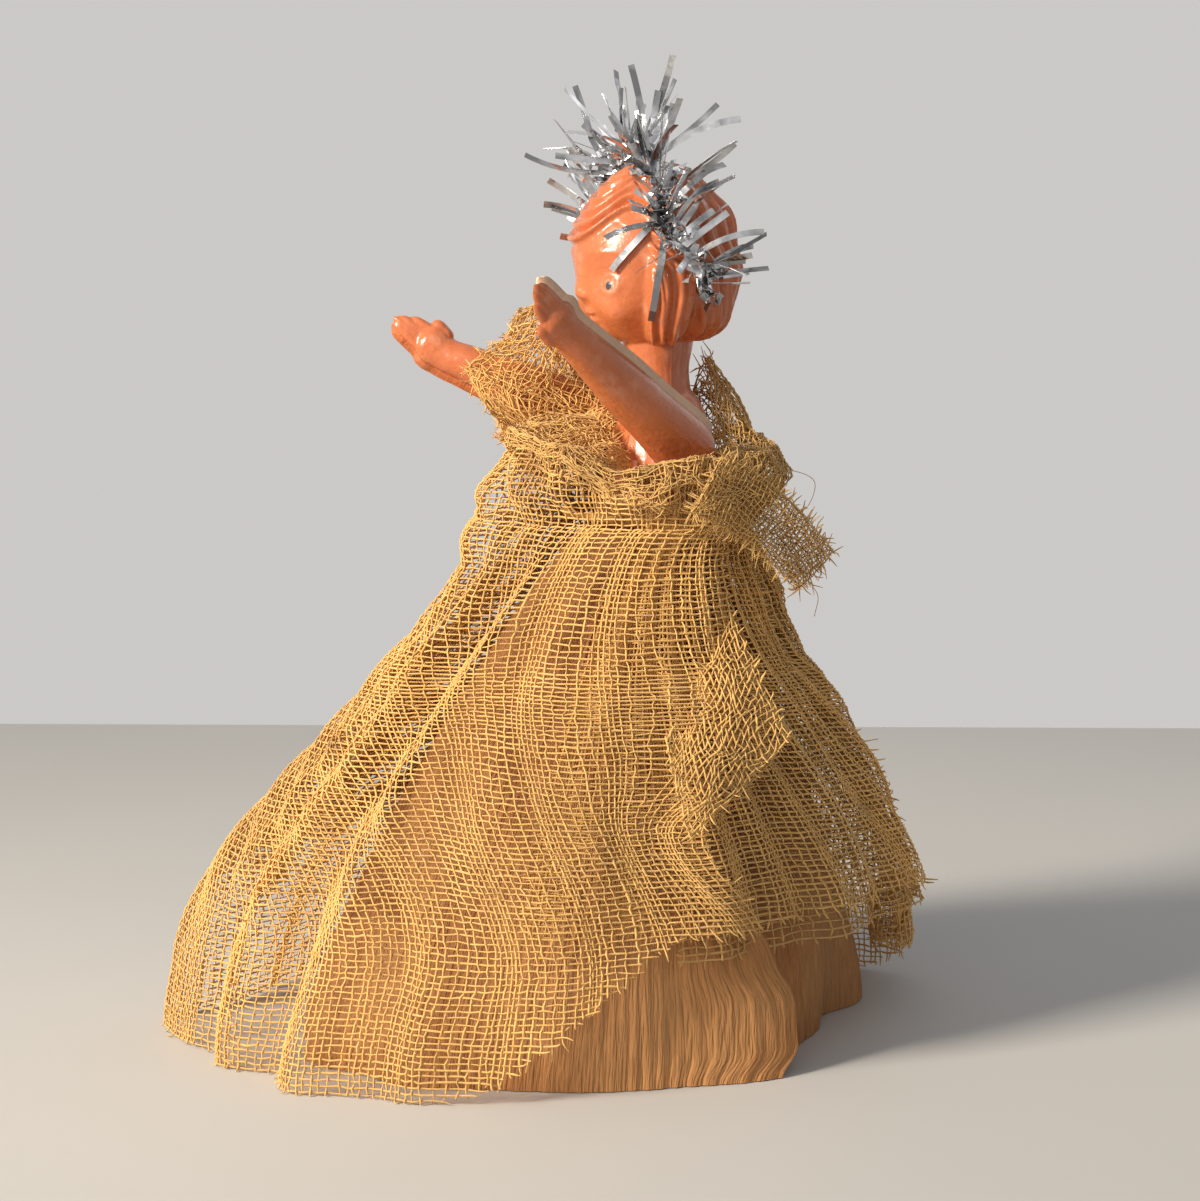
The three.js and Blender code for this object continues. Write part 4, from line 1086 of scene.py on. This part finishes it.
class FAIRY_OT_gauze_skirt(Operator):
    """Weaves the gauze skirt thread by thread, in four stretches, and the layers under it"""

    bl_idname = "fairy.gauze_skirt"
    bl_label = "Gauze skirt"

    def execute(self, context):
        settings = context.scene.fairy_gown
        pitch = settings.thread_pitch / MM
        heights, run = gauze_heights()
        length = run[-1]

        turns = np.linspace(0, 1, 1200)
        hem = gauze_at(turns, np.full(1200, EVEN_HEIGHT))
        spans = np.r_[0, np.cumsum(np.linalg.norm(np.diff(hem, axis=0), axis=1))]
        width = spans[-1]

        def cloth(u, v):
            return np.interp(bunched(u) * width, spans, turns), np.interp(v * length, run, heights)

        def gown(u, v):
            return gauze_at(*cloth(u, v))

        columns, rows = round(width / pitch), round(1.15 * length / pitch)
        points, normals, (u, v) = weave(gown, columns, rows, 7, 0.3, (14, 4))
        turn, z = cloth(u, v)
        degrees = gauze_angle(turn, z)
        keep = (z >= hem_height(degrees)) & (z <= top_height(degrees))
        material = gauze_finish(settings, "gauze_cloth", 1.0)
        # Painted shade: the inner layers get a darker copy of the gauze
        shaded_gauze = gauze_finish(settings, "gauze_inner_shaded_cloth", 0.78)
        marks = np.linspace(0, columns - 1, len(STRETCHES) + 1).astype(int)
        for index, name in enumerate(STRETCHES):
            part = slice(marks[index], marks[index + 1] + 1)
            lines = thread_lines(points[part], normals[part], 11 + index, 2.2, keep[part])
            if name in TURNED_CLOTH:
                lines += cloth_lines(*TURNED_CLOTH[name])
            mesh = tubes(name, lines, settings.thread_width)
            piece = dress(name, mesh, material, "root", ("gauze_skirt",))
        grid = np.meshgrid(np.linspace(0, 1, 90), np.linspace(0, 1, 60), indexing="ij")
        for index, (name, (first, last), (high, low)) in enumerate(INNER_LAYERS):
            def inner(u, v):
                return gauze_at(mix(first, last, u), mix(high, low, v), INNER_GAP)

            sides = flat_of(inner(*grid))
            columns, rows = (round(side / (INNER_PITCH * settings.thread_pitch)) for side in sides)
            points, normals, _ = weave(inner, columns, rows, 37 + index, 0.3, (5, 3))
            lines = thread_lines(points, normals, 47 + index, 1.5)
            mesh = tubes(name, lines, settings.thread_width)
            piece = dress(name, mesh, shaded_gauze, "root", ("gauze_skirt",))
            flat_of(points)
        return {"FINISHED"}


# Shawl


SHAWL_ANGLES = (-180, -145, -122, -106, -90, -62, -40, -12, 35, 62, 90, 135, 180)
SHAWL_CRESTS = (96.3, 97, 99, 107.5, 107, 103, 96.3, 96.3, 96.3, 101, 117, 104, 96.3)
SHAWL_ROLLS = (100, 99.5, 100, 106, 106, 103.5, 99.6, 102, 102.8, 103, 104.5, 102, 100)
SHAWL_EDGES = (93, 94, 95.5, 99.5, 100, 97.5, 94.5, 93.5, 93.5, 94, 95, 93, 93)
SHAWL_REACHES = (9.5, 10, 11.5, 14, 16, 15, 12.5, 12.5, 12.5, 11.5, 11, 9.5, 9.5)


def shawl_at(u, v, proud):
    """The shawl round the chest, rolled: low under the arms, high behind and before the chest."""
    degrees = 360 * u
    angle = np.radians(degrees)
    facing = np.sin(angle)
    side = 1 - smooth(np.abs(facing - 0.25), 0.3, 0.8)
    around = (degrees + 180) % 360 - 180
    crest = eased(around, SHAWL_ANGLES, SHAWL_CRESTS)
    roll = eased(around, SHAWL_ANGLES, SHAWL_ROLLS)
    edge = eased(around, SHAWL_ANGLES, SHAWL_EDGES)
    reach = eased(around, SHAWL_ANGLES, SHAWL_REACHES)
    low = FRILL_TOP + 1.25
    knots = (
        (0.8 + 0 * reach, crest),
        (0.4 * reach, mix(crest, roll, 0.4 * (1 - side))),
        (0.78 * reach, mix(roll, low + 0.9, side * 0.7)),
        (reach, roll),
        (reach + 1.2, mix(roll, edge, 0.5)),
        (reach - 0.6, edge))
    outs = np.stack([out for out, _ in knots])
    rises = np.stack([rise for _, rise in knots])
    place = np.clip(v, 0, 1) * (len(knots) - 1)
    first = np.minimum(place.astype(int), len(knots) - 2)
    share = smooth(place - first, 0, 1) * 0.5 + (place - first) * 0.5
    spot = np.indices(first.shape)
    out = mix(outs[(first, *spot)], outs[(first + 1, *spot)], share)
    z = mix(rises[(first, *spot)], rises[(first + 1, *spot)], share)
    loose = smooth(v, 0.02, 0.25)
    crumple = 0.8 * ripple(u * 9, v * 2, 61, 7, 1) + 0.55 * ripple(u * 30, v * 4, 63, 7, 1)
    out = out + loose * crumple + proud
    sag = 0.6 * ripple(u * 9, v * 2, 62, 7, 1) + 0.4 * ripple(u * 30, v * 4, 64, 7, 1)
    z = z + loose * sag + proud * 0.5
    x = (CHEST_HALF_WIDTH + out) * np.cos(angle)
    y = (CHEST_HALF_DEPTH + out) * np.sin(angle)
    return np.stack((x, y, z), axis=-1)


def tail_at(u, v, proud):
    """The shawl's free end, which hangs out behind the left arm."""
    root = shawl_at(np.array([TAIL_ROOT_ANGLE / 360]), np.array([0.78]), 0)[0] + (2.2, 0, 0.5)
    u = np.clip(u, 0, None)
    run = np.stack((-6.8 * u**1.5, 23 * u, -16.5 * (0.55 * u + 0.45 * u * u)), axis=-1)
    start = np.array((0.05, 0.45, 0.8)) * TAIL_ROOT_WIDTH
    end = np.array((0.27, 0.67, 0.7)) * TAIL_TIP_WIDTH
    across = mix(start, end, u[..., None]) * (v - 0.5)[..., None]
    wave = (1.1 * np.sin(3 * math.pi * v) * u + 0.6 * ripple(u, v, 71, 5, 1.8))[..., None]
    return root + run + across + (wave + proud) * np.array((0.93, -0.37, 0.1))


LOOSE_THREADS = (
    ((10, 16, 97), (11, 20.5, 98.3), (12, 25, 96.5), (11.5, 24.5, 92.5), (10.5, 22, 90)),
    ((14, 23.5, 79), (14.6, 24.8, 76.5), (14, 24.4, 73)))


class FAIRY_OT_shawl(Operator):
    """Weaves the shawl, rolled under the arms and frayed at its edges, and its tail"""

    bl_idname = "fairy.shawl"
    bl_label = "Gauze shawl"

    def execute(self, context):
        settings = context.scene.fairy_gown
        lines = []
        for layer, proud in enumerate((0.0, 0.9)):
            def wrapped(u, v):
                return shawl_at(u, v, proud)

            lines += cloth_lines(wrapped, (168, 28), (81 + layer, 91 + layer), 1.0, (20, 4), 2.4)
        for layer, proud in enumerate((0.0, 0.8, 1.6)):
            def hanging(u, v):
                return tail_at(u, v, proud)

            lines += cloth_lines(hanging, (32, 13), (85 + layer, 95 + layer), 0.6, (3, 2), 2.6)
        for knots in LOOSE_THREADS:
            line = curve_through(knots, 24)
            lines.append((line, np.full(len(line), 0.5)))
        mesh = tubes("shawl", lines, settings.thread_width * FINE_THREAD)
        # Painted shade: the shawl's gauze is darkened as if in the arm's shadow
        material = gauze_finish(settings, "gauze_shawl_shaded_cloth", 0.84)
        piece = dress("shawl", mesh, material, "root", ("gauze_shawl",))
        return {"FINISHED"}


def sleeve_at(u, v, proud):
    """The end of the shawl bunched round the right arm, in the arm's own frame."""
    angle = 2 * math.pi * u
    top = smooth(np.sin(angle), 0, 1)
    under = smooth(-np.sin(angle), 0.1, 1)
    along = mix(3.0, 30 - 3.5 * top - 9 * under, v)
    folds = 0.8 * np.cos(5 * angle + 3 * v) + 0.7 * ripple(u * 2, v, 101, 6, 2.5)
    slack = 2.0 * smooth(v, 0.2, 0.6) * (1 - 0.5 * smooth(v, 0.8, 1)) * (1 - 0.7 * under)
    inward = smooth(np.cos(angle), 0.05, 0.75)
    puff = 7.0 * top * smooth(v, 0.3, 0.75) * (1 - 0.35 * smooth(v, 0.85, 1)) * (1 - 0.7 * inward)
    radius = 5.9 + folds + slack + puff + 0.4 * under + proud
    return np.stack((radius * np.cos(angle), -along + 0 * radius, radius * np.sin(angle)), axis=-1)


class FAIRY_OT_sleeve(Operator):
    """Weaves the sleeve that the shawl makes round the right arm"""

    bl_idname = "fairy.sleeve"
    bl_label = "Gauze sleeve"

    def execute(self, context):
        settings = context.scene.fairy_gown
        matrix = np.array(arm_frame("right", 1))
        lines = []
        for layer, proud in enumerate((0.0, 0.7, 1.4)):
            def bunch(u, v):
                return sleeve_at(u, v, proud) @ matrix[:3, :3].T + matrix[:3, 3]

            lines += cloth_lines(bunch, (52, 25), (111 + layer, 121 + layer), 0.9, (6, 3), 2.2)
        mesh = tubes("sleeve", lines, settings.thread_width * FINE_THREAD)
        material = gauze_finish(settings, "gauze_sleeve_cloth", 1.0)
        piece = dress("sleeve", mesh, material, "right_arm", ("right_sleeve",))
        return {"FINISHED"}


# Crown


CHEEK_STRIPS = (
    # degrees round from the face, degrees up
    ((76, 74, 70, 66), (32, 14, -10, -33)),
    ((74, 66, 52, 38), (40, 26, 10, -5)))


def crown_way(degrees):
    """Unit ways to the crown's wire, in degrees from the top of the head to the left."""
    turn = smooth(np.abs(degrees), 66, CROWN_HALF_SPAN)
    lean = mix(-0.23, 0.17, turn)
    angle = np.radians(degrees)
    return unit_rows(np.stack((np.sin(angle), lean, np.cos(angle)), axis=-1))


def crown_point(degrees):
    return head_point(crown_way(np.atleast_1d(degrees)), CROWN_RISE)


def foil_strip(degrees, rng):
    """One strip's line from the wire out to its tip, bowed, and now and then bent over."""
    base = crown_point(degrees)[0]
    out = crown_way(np.array([degrees]))[0]
    along = crown_point(degrees + 1)[0] - crown_point(degrees - 1)[0]
    along /= np.linalg.norm(along)
    across = np.cross(along, out)
    sides = float(smooth(abs(degrees), 40, 60))
    ends = float(smooth(abs(degrees), 66, CROWN_HALF_SPAN))
    fan = math.radians(mix(-72, mix(72, -20, ends), rng.random()))
    aim = out * math.cos(fan) + across * math.sin(fan) + along * rng.normal(0, 0.16)
    aim[0] *= mix(1, 0.2, sides)
    aim /= np.linalg.norm(aim)
    length = mix(7, mix(20, 13.5, sides), rng.random())
    bow = np.cross(aim, rng.normal(0, 1, 3))
    bow *= length * rng.uniform(0, 0.22) / max(np.linalg.norm(bow), 1e-6)
    share = np.linspace(0, 1, 11)[:, None]
    line = base + aim * length * share + bow * (share * (1 - share) * 4) * 0.5
    if rng.random() < 0.3 * (1 - ends):
        knee = rng.integers(4, 8)
        fold = Matrix.Rotation(rng.uniform(0.5, 1.3), 3, Vector(across * rng.choice((-1, 1))))
        line[knee:] = line[knee] + (line[knee:] - line[knee]) @ np.array(fold).T
    return line


def foil_crumple(degrees, rng):
    """A short strip crushed against the wire."""
    base = crown_point(degrees)[0] + rng.normal(0, 0.5, 3)
    steps = rng.normal(0, 0.75, (7, 3)) + crown_way(np.array([degrees]))[0] * 0.32
    steps[:, 0] *= mix(1, 0.6, float(smooth(abs(degrees), 50, 70)))
    line = base + np.cumsum(steps, axis=0) - HEAD_AT
    away = np.linalg.norm(line, axis=1)
    least = np.linalg.norm(head_point(unit_rows(line), 0.5) - HEAD_AT, axis=1)
    return line * (np.maximum(away, least) / away)[:, None] + HEAD_AT


def foil_laid(turns, ups, proud):
    """A strip laid down over the head through a few turns and heights in degrees."""
    path = curve_through(np.c_[turns, ups], 12)
    return head_point(unit_way(path[:, 0], path[:, 1]), proud)


class FAIRY_OT_tinsel(Operator):
    """Ties the foil strips of the crown to its wire, in four tufts"""

    bl_idname = "fairy.tinsel"
    bl_label = "Tinsel crown"

    def execute(self, context):
        settings = context.scene.fairy_crown
        material = foil_finish(settings)
        names = ("right_side", "right_top", "left_top", "left_side")
        share = 2 * CROWN_HALF_SPAN / len(names)
        for index, name in enumerate(names):
            rng = np.random.default_rng(200 + index)
            lines, laid = [], []
            for strip in range(settings.strips):
                place = (strip + 0.5 + rng.uniform(-0.4, 0.4)) / settings.strips
                degrees = -CROWN_HALF_SPAN + (index + 0.02 + 0.96 * place) * share
                lines.append(foil_strip(degrees, rng))
                lines.append(foil_crumple(degrees, rng))
            if name == "left_side":
                laid = [foil_laid(turns, ups, 0.8) for turns, ups in CHEEK_STRIPS]
                lines += [foil_crumple(rng.uniform(92, CROWN_HALF_SPAN), rng) for _ in range(12)]
            facings = [np.tile(rng.normal(0, 1, 3), (len(line), 1)) for line in lines]
            facings += [line - HEAD_AT for line in laid]
            mesh = ribbons("tinsel_" + name, lines + laid, facings, settings.strip_width / MM, 0.08)
            dress("tinsel_" + name, mesh, material, "root", ("crown_tinsel_" + name,))
            mesh.shade_flat()
        return {"FINISHED"}


class FAIRY_OT_ties(Operator):
    """Finishes the tying thread, the elastic and the crown's wire"""

    bl_idname = "fairy.ties"
    bl_label = "Thread, elastic and wire"

    def execute(self, context):
        looks = {
            "waist_thread": cord_finish("cotton_thread", (176, 130, 62), 0.0),
            "shoulder_elastic": cord_finish("covered_elastic", (200, 188, 164), 0.0),
            "crown_wire": cord_finish("drawn_wire", (150, 150, 152), 1.0)}
        for node, material in looks.items():
            piece = frame["nodes"][node]
            piece.data.materials.clear()
            piece.data.materials.append(material)
        return {"FINISHED"}


# Stage


class FAIRY_OT_stage(Operator):
    """Sets the floor, the soft lights and the camera"""

    bl_idname = "fairy.stage"
    bl_label = "Stage"

    def execute(self, context):
        settings = context.scene.fairy_stage
        bm = bmesh.new()
        bmesh.ops.create_grid(bm, x_segments=1, y_segments=1, size=0.5)
        reach = Matrix.Diagonal((*FLOOR_SIZE, 1, 1))
        forward = Matrix.Translation((0, -FLOOR_FORWARD, 0))
        turn = Matrix.Rotation(math.radians(VIEW_TURN), 4, "Z")
        bmesh.ops.transform(bm, matrix=turn @ forward @ reach, verts=bm.verts)
        floor = add_object("floor", mesh_of(bm, "floor"))
        finish = Finish("floor_paint")
        base = shade(settings.floor, 1)
        finish.colour(finish.blend(finish.mottle(6, 0.3, 0.7), shade(base, 0.97), shade(base, 1.03)))
        finish.rough(finish.range(finish.mottle(9, 0.3, 0.7), 0.7, 0.8))
        floor.data.materials.append(finish.material)
        world = bpy.data.worlds.new("Room")
        context.scene.world = world
        world.use_nodes = True
        nodes, links = world.node_tree.nodes, world.node_tree.links
        light = nodes["Background"]
        light.inputs["Color"].default_value = (0.86, 0.88, 0.92, 1)
        light.inputs["Strength"].default_value = ROOM_LIGHT
        seen = nodes.new("ShaderNodeBackground")
        seen.inputs["Color"].default_value = (*settings.wall, 1)
        path = nodes.new("ShaderNodeLightPath")
        either = nodes.new("ShaderNodeMath")
        either.operation = "MAXIMUM"
        shown = nodes.new("ShaderNodeMath")
        shown.operation = "MAXIMUM"
        choice = nodes.new("ShaderNodeMixShader")
        links.new(path.outputs["Is Camera Ray"], either.inputs[0])
        links.new(path.outputs["Is Glossy Ray"], either.inputs[1])
        links.new(either.outputs[0], shown.inputs[0])
        links.new(path.outputs["Is Transmission Ray"], shown.inputs[1])
        links.new(shown.outputs[0], choice.inputs["Fac"])
        links.new(light.outputs[0], choice.inputs[1])
        links.new(seen.outputs[0], choice.inputs[2])
        links.new(choice.outputs[0], nodes["World Output"].inputs["Surface"])
        for name, place, size, power, spread, colour in LAMPS:
            data = bpy.data.lights.new(name, "AREA")
            data.size = size
            data.energy = power
            data.spread = math.radians(spread)
            data.color = colour
            lamp = add_object(name, data)
            lamp.location = place
            lamp.rotation_euler = (LAMP_AIM - Vector(place)).to_track_quat("-Z", "Y").to_euler()
        data = bpy.data.cameras.new("camera")
        data.lens = settings.lens
        data.sensor_width = 36
        data.clip_start = 0.01
        camera = add_object("camera", data)
        camera.location = CAMERA_AT
        azimuth, dip = math.radians(CAMERA_TURN), math.radians(CAMERA_DIP)
        level = math.cos(dip)
        way = Vector((-math.sin(azimuth) * level, math.cos(azimuth) * level, -math.sin(dip)))
        camera.rotation_euler = way.to_track_quat("-Z", "Y").to_euler()
        context.scene.camera = camera
        context.scene.view_settings.view_transform = "Standard"
        return {"FINISHED"}


class VIEW3D_PT_fairy(Panel):
    """Lists the pieces of the fairy"""

    bl_label = "Fairy tree topper"
    bl_space_type = "VIEW_3D"
    bl_region_type = "UI"
    bl_category = "Fairy"

    def draw(self, context):
        for name in ("fairy_doll", "fairy_gown", "fairy_crown", "fairy_stage"):
            settings = getattr(context.scene, name)
            box = self.layout.box()
            for label in settings.__annotations__:
                box.prop(settings, label)
        for operator in PIECES:
            self.layout.operator(operator.bl_idname)


SETTINGS = {
    "fairy_doll": FairyDollSettings,
    "fairy_gown": FairyGownSettings,
    "fairy_crown": FairyCrownSettings,
    "fairy_stage": FairyStageSettings,
}
PIECES = (
    FAIRY_OT_stage,
    FAIRY_OT_body,
    FAIRY_OT_arms,
    FAIRY_OT_crepe,
    FAIRY_OT_gauze_skirt,
    FAIRY_OT_shawl,
    FAIRY_OT_sleeve,
    FAIRY_OT_tinsel,
    FAIRY_OT_ties,
)


def register():
    for name, settings in SETTINGS.items():
        bpy.utils.register_class(settings)
        setattr(bpy.types.Scene, name, PointerProperty(type=settings))
    for made in (*PIECES, VIEW3D_PT_fairy):
        bpy.utils.register_class(made)


def unregister():
    for made in reversed((*PIECES, VIEW3D_PT_fairy)):
        bpy.utils.unregister_class(made)
    for name, settings in SETTINGS.items():
        delattr(bpy.types.Scene, name)
        bpy.utils.unregister_class(settings)


def main():
    register()
    for piece in PIECES:
        group, name = piece.bl_idname.split(".")
        getattr(getattr(bpy.ops, group), name)()


if __name__ == "__main__":
    main()
